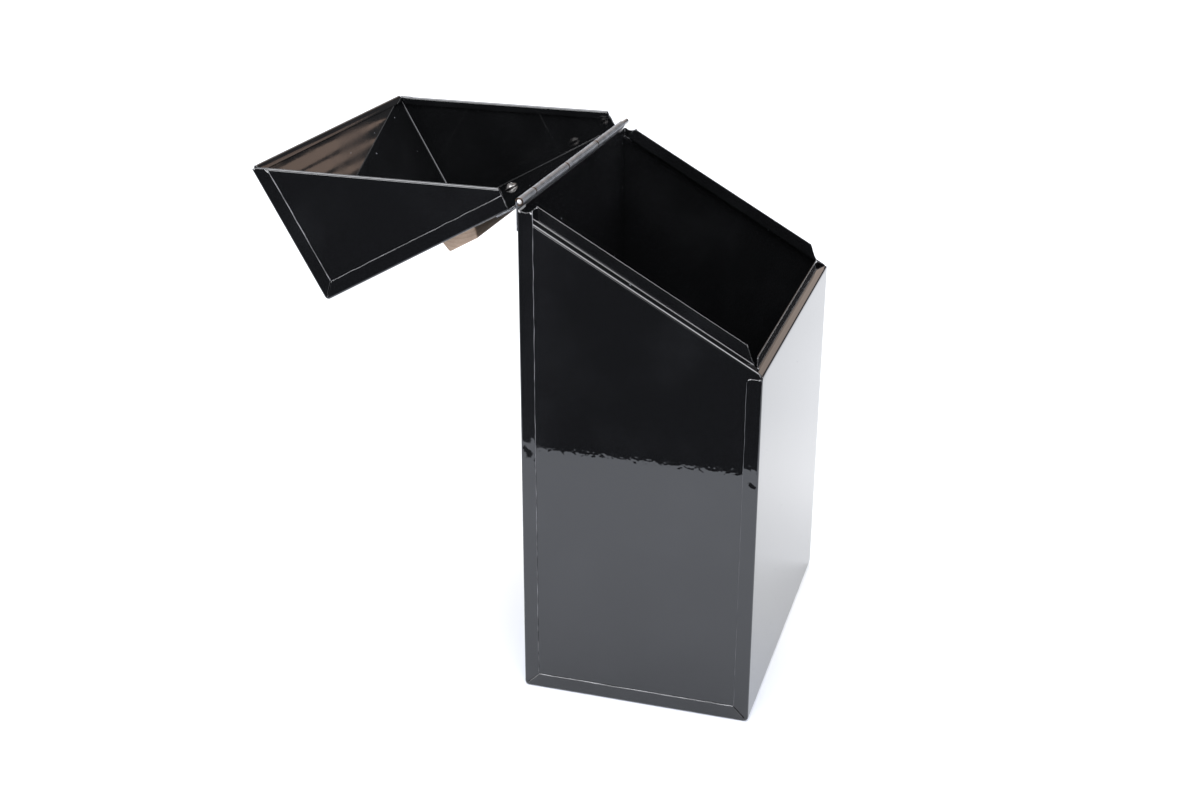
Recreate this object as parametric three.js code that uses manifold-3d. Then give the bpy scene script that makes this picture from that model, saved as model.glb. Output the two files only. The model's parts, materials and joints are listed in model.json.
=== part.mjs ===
// Sheet-steel kindling box with a wedge-shaped lid on a strip hinge, in millimetres.
// X runs along the width, the front faces -Y and Z is up. The box stands on z = 0.
import * as THREE from "three";
import { mergeVertices } from "three/addons/utils/BufferGeometryUtils.js";
import Module from "manifold-3d";

const wasm = await Module();
wasm.setup();

// ---- sizes ----
const BOX_WIDTH = 210;
const BOX_DEPTH = 140;
const FRONT_HEIGHT = 220; // shoulder of the front panel
const LID_TOP = 308; // outer face of the shut lid's top panel
const MOUTH_DROP = 8.9; // from the lid's top down to the sides' shoulder at the back panel
const BACK_DROP = 6; // from the lid's top down to the back panel's top end
const SHEET = 0.8;
const FLANGE_WIDTH = 9;
const CORNER_RADIUS = 2.5; // outer bend between two panels of one wrap
const FLANGE_BEND = 1.2; // outer bend between a panel and its side flange
const FLANGE_SEAT = 0.1; // the sides lie this far inside the flanges
const FRONT_FLANGE_DROP = 2; // from the front shoulder down to the top of its side flanges
const FLANGE_END_RADIUS = 2.5; // rounded corner at the top of those flanges
const MITRE_GAP = 0.35;
const MITRE_START = 1.375; // how far in from the corner's sharp point each mitre slot begins

const LEDGE_WIDTH = 5.2;
const LEDGE_RISE = 0.65;
const LIP_BEND = 0.7; // inner bend radius of the ledge and the lip
const SIDE_LIP_HEIGHT = 8.2; // above the shoulder, square to the slope
const SIDE_LEDGE_REAR = 5.8; // from the back face to the rear end of the side ledges
const SIDE_LIP_END = 11.6; // from the front and back faces to the ends of the side lips' top edge
const SIDE_LIP_FOOT = 7.7; // from the front face to the front end of the side lips' foot
const FRONT_LIP_HEIGHT = 7.2; // above the front shoulder
const FRONT_LIP_END = 11; // from the side faces to the ends of the front lip
const FRONT_LIP_CHAMFER = 1.5;
const LEDGE_SEAM = 1.1; // the front ledge's mitres stop this far short of its lip
const LAP = 12; // how far down a panel its bent top strip is joined

const LID_RIM_LIFT = 1.1; // the shut lid's rim above the shoulder line
const LID_SIDE_END = 9.6; // from the back face to the rear end of the lid's sides and flanges
const HEM_THICKNESS = 2.4;
const HEM_HEIGHT = 5;
const HEM_SETBACK = 2.2; // the folded hems stop this far short of the panel they run up to

const LEAF_SHEET = 0.8;
const LEAF_LENGTH = 17; // from the pin's axis to the leaf's long edge
const LEAF_INSET = 1; // from the side faces to the ends of the leaves
const KNUCKLE_RADIUS = 2.35;
const PIN_RADIUS = 1.65;
const KNUCKLE_BORE = 1.73;
const KNUCKLE_COUNT = 4;
const FIRST_KNUCKLE = 22.8;
const BARE_PIN = 10.8; // from the last knuckle to the right-hand side face
const KNUCKLE_GAP = 0.3;
const PIN_OVERRUN = 0.6;
const LEAF_CUTBACK = 4.1; // from the pin's axis to the lid's rear edge between knuckles
const LID_OPEN_DEG = 209.3;

const HANDLE_LENGTH = 120;
const HANDLE_BASE = 25;
const HANDLE_TOP = 21;
const HANDLE_THICKNESS = 10;
const HANDLE_Y = 3;
const HANDLE_EDGE_EASE = 1.0;
const SCREW_SPACING = 75;
const SCREW_HEAD_RADIUS = 4.5;
const SCREW_HEAD_HEIGHT = 3.3;
const SCREW_HEAD_RIM = 0.9;
const SCREW_SHANK_RADIUS = 1.9;
const SCREW_REACH = 6.5; // how far the shank goes into the bar
const SCREW_TIP = 1.2;
const SCREW_HOLE_RADIUS = 2.3;
const SCREW_PILOT_RADIUS = 2.0;
const SCREW_PILOT_SPARE = 0.6; // the pilot hole runs this far past the screw's tip
const SCREW_SEAT = 0.05;

// ---- derived sizes ----
const HALF_W = BOX_WIDTH / 2;
const HALF_D = BOX_DEPTH / 2;
const BACK_HEIGHT = LID_TOP - BACK_DROP;
const RIM_SLOPE = (LID_TOP - MOUTH_DROP - FRONT_HEIGHT) / BOX_DEPTH; // rise over run
const SLOPE_ANGLE = Math.atan(RIM_SLOPE);
const SIDE_OUTER = HALF_W - SHEET; // outer face of the body's sides
const LID_SIDE_OUTER = HALF_W - SHEET - FLANGE_SEAT;
const FRONT_LIP_TOP = FRONT_HEIGHT + FRONT_LIP_HEIGHT;
const FRONT_LIP_HALF = HALF_W - FRONT_LIP_END;
const LEAF_HALF = HALF_W - LEAF_INSET;
const KNUCKLE_PITCH = (BOX_WIDTH - FIRST_KNUCKLE - BARE_PIN) / (KNUCKLE_COUNT - 1);
const AXIS_Y = HALF_D + LEAF_SHEET - KNUCKLE_RADIUS;
const AXIS_Z = LID_TOP + LEAF_SHEET - KNUCKLE_RADIUS;
const LID_REAR_CUT = HALF_D - LID_SIDE_END;
const LID_REAR_EDGE = AXIS_Y - LEAF_CUTBACK;
const SCREW_PLACES = [-SCREW_SPACING / 2, SCREW_SPACING / 2];
const SPARE = 20; // overrun of cutting tools past the part

const shoulderAt = (y) => FRONT_HEIGHT + (y + HALF_D) * RIM_SLOPE;

// ---- materials ----
const finish = (color, roughness, metalness) =>
  new THREE.MeshStandardMaterial({ color, roughness, metalness });
const enamel = () => finish(0x08080a, 0.12, 0.0);
const plating = () => finish(0xb9bdbb, 0.32, 1.0);
const pinSteel = () => finish(0x9a9d9c, 0.28, 1.0);
const bareWood = () => finish(0xc9a98c, 0.62, 0.0);

// ---- solids ----
// A closed geometry as a solid that can be added to and cut.
function solid(geometry) {
  const plain = new THREE.BufferGeometry();
  const flat = geometry.index ? geometry.toNonIndexed() : geometry;
  plain.setAttribute("position", flat.getAttribute("position"));
  const merged = mergeVertices(plain, 1e-4);
  return new wasm.Manifold(
    new wasm.Mesh({
      numProp: 3,
      vertProperties: new Float32Array(merged.attributes.position.array),
      triVerts: new Uint32Array(merged.index.array),
    }),
  );
}

function geometryOf(body) {
  const mesh = body.getMesh();
  const stride = mesh.numProp;
  const positions = new Float32Array(mesh.numVert * 3);
  for (let i = 0; i < mesh.numVert; i++) {
    positions.set(mesh.vertProperties.subarray(i * stride, i * stride + 3), i * 3);
  }
  const indexed = new THREE.BufferGeometry();
  indexed.setAttribute("position", new THREE.BufferAttribute(positions, 3));
  indexed.setIndex(new THREE.BufferAttribute(new Uint32Array(mesh.triVerts), 1));
  const geometry = indexed.toNonIndexed();
  geometry.computeVertexNormals();
  return geometry;
}

// The same geometry on the other side of the x = 0 plane.
function mirrored(geometry) {
  const positions = geometry.getAttribute("position").array.slice();
  for (let i = 0; i < positions.length; i += 9) {
    const second = positions.slice(i + 3, i + 6);
    positions.copyWithin(i + 3, i + 6, i + 9);
    positions.set(second, i + 6);
    for (let corner = 0; corner < 9; corner += 3) positions[i + corner] *= -1;
  }
  const flipped = new THREE.BufferGeometry();
  flipped.setAttribute("position", new THREE.BufferAttribute(positions, 3));
  flipped.computeVertexNormals();
  return flipped;
}

function block(x0, x1, y0, y1, z0, z1) {
  const box = new THREE.BoxGeometry(x1 - x0, y1 - y0, z1 - z0);
  box.translate((x0 + x1) / 2, (y0 + y1) / 2, (z0 + z1) / 2);
  return solid(box);
}

function shapeOf(points) {
  return new THREE.Shape(points.map(([u, v]) => new THREE.Vector2(u, v)));
}

function extruded(points, depth) {
  return new THREE.ExtrudeGeometry(shapeOf(points), { depth, bevelEnabled: false });
}

// Turns a profile drawn flat and extruded up into one drawn in (y, z) and run along x.
const YZ_ALONG_X = new THREE.Matrix4().makeBasis(
  new THREE.Vector3(0, 1, 0),
  new THREE.Vector3(0, 0, 1),
  new THREE.Vector3(1, 0, 0),
);

// A profile drawn in (y, z), run along x from x0 to x1.
function prismX(points, x0, x1) {
  const prism = extruded(points, x1 - x0);
  prism.applyMatrix4(YZ_ALONG_X);
  prism.translate(x0, 0, 0);
  return solid(prism);
}

// As prismX across the whole width, with the edges along both ends rounded.
function roundedPrismX(points, halfWidth, radius) {
  const prism = new THREE.ExtrudeGeometry(shapeOf(points), {
    depth: 2 * (halfWidth - radius),
    bevelEnabled: true,
    bevelThickness: radius,
    bevelSize: radius,
    bevelOffset: -radius,
    bevelSegments: 4,
  });
  prism.applyMatrix4(YZ_ALONG_X);
  prism.translate(radius - halfWidth, 0, 0);
  return solid(prism);
}

// A plan drawn in (x, y), run along z from z0 to z1.
function prismZ(points, z0, z1) {
  const prism = extruded(points, z1 - z0);
  prism.translate(0, 0, z0);
  return solid(prism);
}

// A view from the front drawn in (x, z), run along y from y0 to y1.
function prismY(points, y0, y1) {
  const prism = extruded(points, y1 - y0);
  prism.applyMatrix4(new THREE.Matrix4().makeRotationX(Math.PI / 2));
  prism.translate(0, y1, 0);
  return solid(prism);
}

// A section drawn in (x, v), v square to the mouth's slope, run along the whole slope.
function prismSlope(points) {
  const length = BOX_DEPTH / Math.cos(SLOPE_ANGLE) + 2 * SPARE;
  const prism = extruded(points, length);
  const cos = Math.cos(SLOPE_ANGLE);
  const sin = Math.sin(SLOPE_ANGLE);
  const toWorld = new THREE.Matrix4().makeBasis(
    new THREE.Vector3(1, 0, 0),
    new THREE.Vector3(0, -sin, cos),
    new THREE.Vector3(0, -cos, -sin),
  );
  prism.applyMatrix4(toWorld);
  const start = length - SPARE;
  prism.translate(0, start * cos - HALF_D, start * sin + FRONT_HEIGHT);
  return solid(prism);
}

function cylinderX(radius, x0, x1, y, z, sides = 48) {
  const cylinder = new THREE.CylinderGeometry(radius, radius, x1 - x0, sides);
  cylinder.rotateZ(Math.PI / 2);
  cylinder.translate((x0 + x1) / 2, y, z);
  return solid(cylinder);
}

function cylinderZ(radius, x, y, z0, z1, sides = 32) {
  const cylinder = new THREE.CylinderGeometry(radius, radius, z1 - z0, sides);
  cylinder.rotateX(Math.PI / 2);
  cylinder.translate(x, y, (z0 + z1) / 2);
  return solid(cylinder);
}

// The outline of a bent sheet whose one face follows the path, with the sheet on its right.
function bentOutline(path, thickness, innerBend) {
  const face = [path[0]];
  const back = [];
  const direction = (a, b) => {
    const length = Math.hypot(b[0] - a[0], b[1] - a[1]);
    return [(b[0] - a[0]) / length, (b[1] - a[1]) / length];
  };
  const rightOf = ([u, v]) => [v, -u];
  const offset = (point, normal, distance) => [
    point[0] + normal[0] * distance,
    point[1] + normal[1] * distance,
  ];
  let along = direction(path[0], path[1]);
  back.push(offset(path[0], rightOf(along), thickness));
  for (let i = 1; i < path.length - 1; i++) {
    const next = direction(path[i], path[i + 1]);
    const turn = along[0] * next[1] - along[1] * next[0];
    const half = Math.atan2(Math.abs(turn), along[0] * next[0] + along[1] * next[1]) / 2;
    const toRight = turn < 0;
    const faceRadius = toRight ? innerBend + thickness : innerBend;
    const backRadius = toRight ? innerBend : innerBend + thickness;
    const side = toRight ? 1 : -1;
    const tangent = offset(path[i], along, -faceRadius * Math.tan(half));
    const centre = offset(tangent, rightOf(along), side * faceRadius);
    const start = Math.atan2(tangent[1] - centre[1], tangent[0] - centre[0]);
    const steps = 5;
    for (let k = 0; k <= steps; k++) {
      const angle = start - (side * 2 * half * k) / steps;
      const spoke = [Math.cos(angle), Math.sin(angle)];
      face.push(offset(centre, spoke, faceRadius));
      back.push(offset(centre, spoke, backRadius));
    }
    along = next;
  }
  const last = path[path.length - 1];
  face.push(last);
  back.push(offset(last, rightOf(along), thickness));
  return [...face, ...back.reverse()];
}

// Points of a quarter bend from one angle to another, in degrees.
function arc(u, v, radius, from, to, steps = 5) {
  const points = [];
  for (let k = 0; k <= steps; k++) {
    const angle = THREE.MathUtils.degToRad(from + ((to - from) * k) / steps);
    points.push([u + radius * Math.cos(angle), v + radius * Math.sin(angle)]);
  }
  return points;
}

// A thin slot along the 45 degree line of a mitred corner, through both side flanges.
function mitreSlot(y, z, towardsY, towardsZ) {
  const inner = FLANGE_WIDTH + 1;
  const outer = MITRE_START;
  const half = MITRE_GAP / 2;
  const point = (reach, across) => [
    y + towardsY * reach - towardsY * across,
    z + towardsZ * reach + towardsZ * across,
  ];
  const outline = [
    point(outer, -half),
    point(inner, -half),
    point(inner, half),
    point(outer, half),
  ];
  const cutDepth = 1.5 * SHEET;
  return prismX(outline, -HALF_W - 1, -HALF_W + cutDepth).add(
    prismX(outline, HALF_W - cutDepth, HALF_W + 1),
  );
}

// ---- body ----
function bodyWrap() {
  const r = CORNER_RADIUS;
  const outer = roundedPrismX(
    [
      ...arc(-HALF_D + r, r, r, 180, 270),
      ...arc(HALF_D - r, r, r, 270, 360),
      [HALF_D, LID_TOP + SPARE],
      [-HALF_D, LID_TOP + SPARE],
    ],
    HALF_W,
    FLANGE_BEND,
  );
  const inside = HALF_D - SHEET;
  const ri = r - SHEET;
  const cavity = prismX(
    [
      ...arc(-inside + ri, SHEET + ri, ri, 180, 270),
      ...arc(inside - ri, SHEET + ri, ri, 270, 360),
      [inside, LID_TOP + 2 * SPARE],
      [-inside, LID_TOP + 2 * SPARE],
    ],
    -SIDE_OUTER,
    SIDE_OUTER,
  );
  const windowY = HALF_D - FLANGE_WIDTH;
  const sideWindow = block(
    -HALF_W - SPARE,
    HALF_W + SPARE,
    -windowY,
    windowY,
    FLANGE_WIDTH,
    LID_TOP + 2 * SPARE,
  );
  const aboveBack = block(
    -HALF_W - SPARE,
    HALF_W + SPARE,
    0,
    HALF_D + SPARE,
    BACK_HEIGHT,
    LID_TOP + 2 * SPARE,
  );
  const flangeTop = FRONT_HEIGHT - FRONT_FLANGE_DROP;
  const endRadius = FLANGE_END_RADIUS;
  const aboveFront = prismX(
    [
      [-HALF_D - SPARE, flangeTop],
      ...arc(-windowY - endRadius, flangeTop - endRadius, endRadius, 90, 0),
      [0, flangeTop - endRadius],
      [0, LID_TOP + 2 * SPARE],
      [-HALF_D - SPARE, LID_TOP + 2 * SPARE],
    ],
    -HALF_W - SPARE,
    HALF_W + SPARE,
  );
  return outer
    .subtract(cavity)
    .subtract(sideWindow)
    .subtract(aboveBack)
    .subtract(aboveFront)
    .subtract(mitreSlot(-HALF_D, 0, 1, 1))
    .subtract(mitreSlot(HALF_D, 0, -1, 1))
    .add(frontLedge());
}

// The front panel's top: bent in to a ledge, then up to a lip.
function frontLedge() {
  const lipY = -HALF_D + LEDGE_WIDTH;
  const stripHalf = SIDE_OUTER - SHEET / 2;
  const below = FRONT_HEIGHT - LAP;
  const strip = prismX(
    bentOutline(
      [
        [-HALF_D, below],
        [-HALF_D, FRONT_HEIGHT],
        [lipY, FRONT_HEIGHT + LEDGE_RISE],
        [lipY, FRONT_LIP_TOP],
      ],
      SHEET,
      LIP_BEND,
    ),
    -stripHalf,
    stripHalf,
  );
  const corner = SIDE_OUTER + FLANGE_SEAT;
  const mitreStart = -HALF_D - 2 * FLANGE_SEAT;
  const mitreEnd = lipY - LEDGE_SEAM;
  const mitreX = corner - (mitreEnd - mitreStart);
  const plan = prismZ(
    [
      [-corner, -HALF_D - SPARE],
      [corner, -HALF_D - SPARE],
      [corner, mitreStart],
      [mitreX, mitreEnd],
      [FRONT_LIP_HALF, mitreEnd],
      [FRONT_LIP_HALF, lipY + SPARE],
      [-FRONT_LIP_HALF, lipY + SPARE],
      [-FRONT_LIP_HALF, mitreEnd],
      [-mitreX, mitreEnd],
      [-corner, mitreStart],
    ],
    below - 1,
    FRONT_LIP_TOP + 1,
  );
  const chamfer = FRONT_LIP_CHAMFER;
  const lipFoot = FRONT_HEIGHT + FRONT_FLANGE_DROP;
  const face = prismY(
    [
      [-HALF_W, below - 1],
      [HALF_W, below - 1],
      [HALF_W, lipFoot],
      [FRONT_LIP_HALF, lipFoot],
      [FRONT_LIP_HALF, FRONT_LIP_TOP - chamfer],
      [FRONT_LIP_HALF - chamfer, FRONT_LIP_TOP],
      [-FRONT_LIP_HALF + chamfer, FRONT_LIP_TOP],
      [-FRONT_LIP_HALF, FRONT_LIP_TOP - chamfer],
      [-FRONT_LIP_HALF, lipFoot],
      [-HALF_W, lipFoot],
    ],
    -HALF_D - 1,
    lipY + 1,
  );
  return strip.intersect(plan).intersect(face);
}

// Side panel on the -x side: flat plate, sloping ledge and upright lip.
function bodySide() {
  const outerX = -SIDE_OUTER;
  const lipX = outerX + LEDGE_WIDTH;
  const edge = HALF_D - SHEET;
  const plateDrop = 3; // the flat plate gives way to the bent strip this far below the shoulder
  const corner = CORNER_RADIUS - SHEET + 2 * FLANGE_SEAT;
  const plate = prismX(
    [
      ...arc(-edge + corner, SHEET + corner, corner, 180, 270),
      ...arc(edge - corner, SHEET + corner, corner, 270, 360),
      [edge, shoulderAt(edge) - plateDrop],
      [-edge, shoulderAt(-edge) - plateDrop],
    ],
    outerX,
    outerX + SHEET,
  );
  const strip = prismSlope(
    bentOutline(
      [
        [outerX, -LAP],
        [outerX, 0],
        [lipX, LEDGE_RISE],
        [lipX, SIDE_LIP_HEIGHT],
      ],
      SHEET,
      LIP_BEND,
    ),
  );
  const aboveLip = 1.5 * SIDE_LIP_HEIGHT;
  const ledgeRear = HALF_D - SIDE_LEDGE_REAR;
  const lipTopEnd = HALF_D - SIDE_LIP_END;
  const footEnd = -HALF_D + SIDE_LIP_FOOT;
  const above = (y, height) => [y, shoulderAt(y) + height];
  const sideView = prismX(
    [
      above(-edge, -SPARE),
      above(edge, -SPARE),
      above(edge, -1),
      above(ledgeRear, -1),
      above(ledgeRear, 3.5),
      above(lipTopEnd, aboveLip),
      above(-lipTopEnd, aboveLip),
      above(footEnd, 3),
      above(footEnd, 2 * SHEET),
      above(-edge, 2 * SHEET),
    ],
    outerX - 1,
    lipX + 1,
  );
  const mitreStart = -edge + 2 * FLANGE_SEAT;
  const mitreEnd = mitreStart + LEDGE_WIDTH + SHEET / 2;
  const plan = prismZ(
    [
      [outerX - 1, -edge],
      [outerX + SHEET, -edge],
      [outerX + SHEET, mitreStart + SHEET + 2 * FLANGE_SEAT],
      [lipX + 2 * FLANGE_SEAT, mitreEnd],
      [lipX + 1, mitreEnd],
      [lipX + 1, edge],
      [outerX - 1, edge],
    ],
    FRONT_HEIGHT - SPARE,
    LID_TOP + SPARE,
  );
  return plate.add(strip.intersect(sideView).intersect(plan));
}

// ---- lid, drawn shut ----
const rimAt = (y) => shoulderAt(y) + LID_RIM_LIFT;

function lidWrap() {
  const r = CORNER_RADIUS;
  const far = HALF_D + SPARE;
  const outer = roundedPrismX(
    [
      [-HALF_D, FRONT_HEIGHT - SPARE],
      [far, FRONT_HEIGHT - SPARE],
      [far, LID_TOP],
      ...arc(-HALF_D + r, LID_TOP - r, r, 90, 180),
    ],
    HALF_W,
    FLANGE_BEND,
  );
  const inside = -HALF_D + SHEET;
  const ceiling = LID_TOP - SHEET;
  const ri = r - SHEET;
  const cavity = prismX(
    [
      [inside, FRONT_HEIGHT - 2 * SPARE],
      [far + SPARE, FRONT_HEIGHT - 2 * SPARE],
      [far + SPARE, ceiling],
      ...arc(inside + ri, ceiling - ri, ri, 90, 180),
    ],
    -SIDE_OUTER,
    SIDE_OUTER,
  );
  const sideWindow = block(
    -HALF_W - SPARE,
    HALF_W + SPARE,
    -HALF_D + FLANGE_WIDTH,
    far + SPARE,
    FRONT_HEIGHT - 2 * SPARE,
    LID_TOP - FLANGE_WIDTH,
  );
  const belowRim = prismX(
    [
      [-far, FRONT_HEIGHT - 3 * SPARE],
      [far, FRONT_HEIGHT - 3 * SPARE],
      [far, rimAt(far)],
      [-far, rimAt(-far)],
    ],
    -HALF_W - SPARE,
    HALF_W + SPARE,
  );
  const rearFlanges = block(
    -HALF_W - SPARE,
    HALF_W + SPARE,
    LID_REAR_CUT,
    far + SPARE,
    FRONT_HEIGHT,
    ceiling,
  );
  const behindEdge = block(
    -HALF_W - SPARE,
    HALF_W + SPARE,
    LID_REAR_EDGE,
    far + SPARE,
    FRONT_HEIGHT,
    LID_TOP + SPARE,
  );
  let wrap = outer
    .subtract(cavity)
    .subtract(sideWindow)
    .subtract(belowRim)
    .subtract(rearFlanges)
    .subtract(behindEdge)
    .subtract(mitreSlot(-HALF_D, LID_TOP, 1, -1))
    .add(frontHem());
  for (const x of SCREW_PLACES) {
    wrap = wrap.subtract(cylinderZ(SCREW_HOLE_RADIUS, x, HANDLE_Y, LID_TOP - 2, LID_TOP + 1));
  }
  return wrap;
}

// The lid front's lower edge, folded back on itself inside.
function frontHem() {
  const r = HEM_THICKNESS / 2;
  const bottom = rimAt(-HALF_D);
  const outline = [
    ...arc(-HALF_D + r, bottom + r, r, 180, 360, 8),
    [-HALF_D + HEM_THICKNESS, bottom + HEM_HEIGHT],
    [-HALF_D, bottom + HEM_HEIGHT],
  ];
  const half = SIDE_OUTER - HEM_SETBACK - 2 * FLANGE_SEAT;
  return prismX(outline, -half, half);
}

// Lid side on the -x side: wedge plate with its sloping rim folded back on itself.
function lidSide() {
  const outerX = -LID_SIDE_OUTER;
  const front = -HALF_D + SHEET + FLANGE_SEAT;
  const top = LID_TOP - SHEET - FLANGE_SEAT;
  const aboveRim = HEM_HEIGHT / 4; // the flat plate gives way to the hem this far above the rim
  const chamfer = CORNER_RADIUS - SHEET; // clears the bend between the front and top panels
  const plate = prismX(
    [
      [front, rimAt(front) + aboveRim],
      [LID_REAR_CUT, rimAt(LID_REAR_CUT) + aboveRim],
      [LID_REAR_CUT, top],
      [front + chamfer, top],
      [front, top - chamfer],
    ],
    outerX,
    outerX + SHEET,
  );
  const r = HEM_THICKNESS / 2;
  const rimV = LID_RIM_LIFT * Math.cos(SLOPE_ANGLE);
  const hem = prismSlope([
    ...arc(outerX + r, rimV + r, r, 180, 360, 8),
    [outerX + HEM_THICKNESS, rimV + HEM_HEIGHT],
    [outerX, rimV + HEM_HEIGHT],
  ]);
  const wedge = (from) => [
    [from, FRONT_HEIGHT - SPARE],
    [LID_REAR_CUT, FRONT_HEIGHT - SPARE],
    [LID_REAR_CUT, top],
    [from, top],
  ];
  const foldX = outerX + SHEET / 4;
  const sideView = prismX(wedge(front), outerX - 1, outerX + SHEET).add(
    prismX(wedge(front + HEM_SETBACK), foldX, outerX + HEM_THICKNESS + 1),
  );
  return plate.add(hem.intersect(sideView));
}

// ---- hinge ----
const knuckleEnds = [-HALF_W, -HALF_W + FIRST_KNUCKLE];
for (let i = 1; i < KNUCKLE_COUNT; i++) knuckleEnds.push(knuckleEnds[i] + KNUCKLE_PITCH);

// One leaf with its knuckles about the x axis. toProfile turns a distance along the leaf and
// a distance out from the pin's axis into (y, z).
function leafSolid(knuckles, cutback, toProfile) {
  const inner = KNUCKLE_RADIUS - LEAF_SHEET;
  const strip = (x0, x1, from, to) =>
    prismX(
      [
        toProfile(from, inner),
        toProfile(to, inner),
        toProfile(to, KNUCKLE_RADIUS),
        toProfile(from, KNUCKLE_RADIUS),
      ],
      x0,
      x1,
    );
  let leaf = strip(-LEAF_HALF, LEAF_HALF, cutback, LEAF_LENGTH);
  for (const index of knuckles) {
    const x0 = knuckleEnds[index] + (index ? KNUCKLE_GAP / 2 : 0);
    const x1 = knuckleEnds[index + 1] - KNUCKLE_GAP / 2;
    leaf = leaf
      .add(strip(Math.max(x0, -LEAF_HALF), x1, 0, cutback + 1))
      .add(cylinderX(KNUCKLE_RADIUS, x0, x1, 0, 0));
  }
  return leaf.subtract(cylinderX(KNUCKLE_BORE, -HALF_W - 1, HALF_W + 1, 0, 0));
}

function hingePin() {
  return cylinderX(PIN_RADIUS, -HALF_W, HALF_W + PIN_OVERRUN, 0, 0);
}

// ---- handle ----
// Wooden bar on the lid's top, narrower at its outer face, with a pilot hole for each screw.
function handleBar() {
  const base = LID_TOP + SCREW_SEAT;
  const top = base + HANDLE_THICKNESS;
  const ease = HANDLE_EDGE_EASE;
  const half = HANDLE_BASE / 2;
  const halfTop = HANDLE_TOP / 2;
  const halfShoulder = halfTop + ((half - halfTop) * ease) / HANDLE_THICKNESS;
  const section = [
    [HANDLE_Y - half, base],
    [HANDLE_Y + half, base],
    [HANDLE_Y + halfShoulder, top - ease],
    [HANDLE_Y + halfTop - ease, top],
    [HANDLE_Y - halfTop + ease, top],
    [HANDLE_Y - halfShoulder, top - ease],
  ];
  const halfLength = HANDLE_LENGTH / 2;
  const easedEnds = prismY(
    [
      [-halfLength, base - 1],
      [halfLength, base - 1],
      [halfLength, top - ease],
      [halfLength - ease, top + 0.01],
      [-halfLength + ease, top + 0.01],
      [-halfLength, top - ease],
    ],
    HANDLE_Y - HANDLE_BASE,
    HANDLE_Y + HANDLE_BASE,
  );
  const holeTop = base + SCREW_REACH + SCREW_PILOT_SPARE;
  let bar = prismX(section, -halfLength, halfLength).intersect(easedEnds);
  for (const x of SCREW_PLACES) {
    bar = bar.subtract(cylinderZ(SCREW_PILOT_RADIUS, x, HANDLE_Y, base - 1, holeTop));
  }
  return bar;
}

// Domed screw that comes up through the lid's top into the bar.
function handleScrew(x) {
  const seat = LID_TOP - SHEET - SCREW_SEAT;
  const profile = [[0, seat - SCREW_HEAD_HEIGHT]];
  const steps = 6;
  for (let k = 1; k <= steps; k++) {
    const angle = (Math.PI / 2) * (k / steps);
    profile.push([
      SCREW_HEAD_RADIUS * Math.sin(angle),
      seat - SCREW_HEAD_RIM - (SCREW_HEAD_HEIGHT - SCREW_HEAD_RIM) * Math.cos(angle),
    ]);
  }
  profile.push([SCREW_HEAD_RADIUS, seat]);
  profile.push([SCREW_SHANK_RADIUS, seat]);
  profile.push([SCREW_SHANK_RADIUS, LID_TOP + SCREW_REACH - SCREW_TIP]);
  profile.push([0, LID_TOP + SCREW_REACH]);
  const lathe = new THREE.LatheGeometry(
    profile.map(([radius, z]) => new THREE.Vector2(radius, z)),
    32,
  );
  lathe.rotateX(Math.PI / 2);
  lathe.translate(x, HANDLE_Y, 0);
  return lathe;
}

// ---- assembly ----
function addNode(name, geometry, material, group) {
  const mesh = new THREE.Mesh(geometry, material);
  mesh.name = name;
  group.add(mesh);
}

const root = new THREE.Group();
root.name = "kindling_box";

const bodySideGeometry = geometryOf(bodySide());
addNode("body_wrap", geometryOf(bodyWrap()), enamel(), root);
addNode("body_side_left", bodySideGeometry, enamel(), root);
addNode("body_side_right", mirrored(bodySideGeometry), enamel(), root);

const hinge = new THREE.Group();
hinge.name = "hinge_on_body";
hinge.position.set(0, AXIS_Y, AXIS_Z);
root.add(hinge);
const bodyLeaf = leafSolid([0, 2], AXIS_Z - BACK_HEIGHT, (along, out) => [out, -along]);
addNode("hinge_body_leaf", geometryOf(bodyLeaf), plating(), hinge);
addNode("hinge_pin", geometryOf(hingePin()), pinSteel(), hinge);

// The lid is drawn shut, then thrown back about the pin.
const lid = new THREE.Group();
lid.name = "lid";
lid.position.set(0, AXIS_Y, AXIS_Z);
lid.rotation.x = -THREE.MathUtils.degToRad(LID_OPEN_DEG);
root.add(lid);
const aboutPin = (geometry) => geometry.translate(0, -AXIS_Y, -AXIS_Z);
const lidSideGeometry = aboutPin(geometryOf(lidSide()));
addNode("lid_wrap", aboutPin(geometryOf(lidWrap())), enamel(), lid);
addNode("lid_side_left", lidSideGeometry, enamel(), lid);
addNode("lid_side_right", mirrored(lidSideGeometry), enamel(), lid);
const lidLeaf = leafSolid([1, 3], LEAF_CUTBACK, (along, out) => [-along, out]);
addNode("hinge_lid_leaf", geometryOf(lidLeaf), plating(), lid);
addNode("handle_bar", aboutPin(geometryOf(handleBar())), bareWood(), lid);
addNode("handle_screw_left", aboutPin(handleScrew(SCREW_PLACES[0])), plating(), lid);
addNode("handle_screw_right", aboutPin(handleScrew(SCREW_PLACES[1])), plating(), lid);

export default root;
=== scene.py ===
# Gloss-enamelled sheet-steel kindling box with a wedge lid on a strip hinge and a wooden handle.
# Every length is in metres, X along the width, the front towards -Y, Z up.
import json
import math

import bmesh
import bpy
from bpy.props import FloatProperty, FloatVectorProperty, PointerProperty
from mathutils import Matrix, Vector, noise


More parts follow.
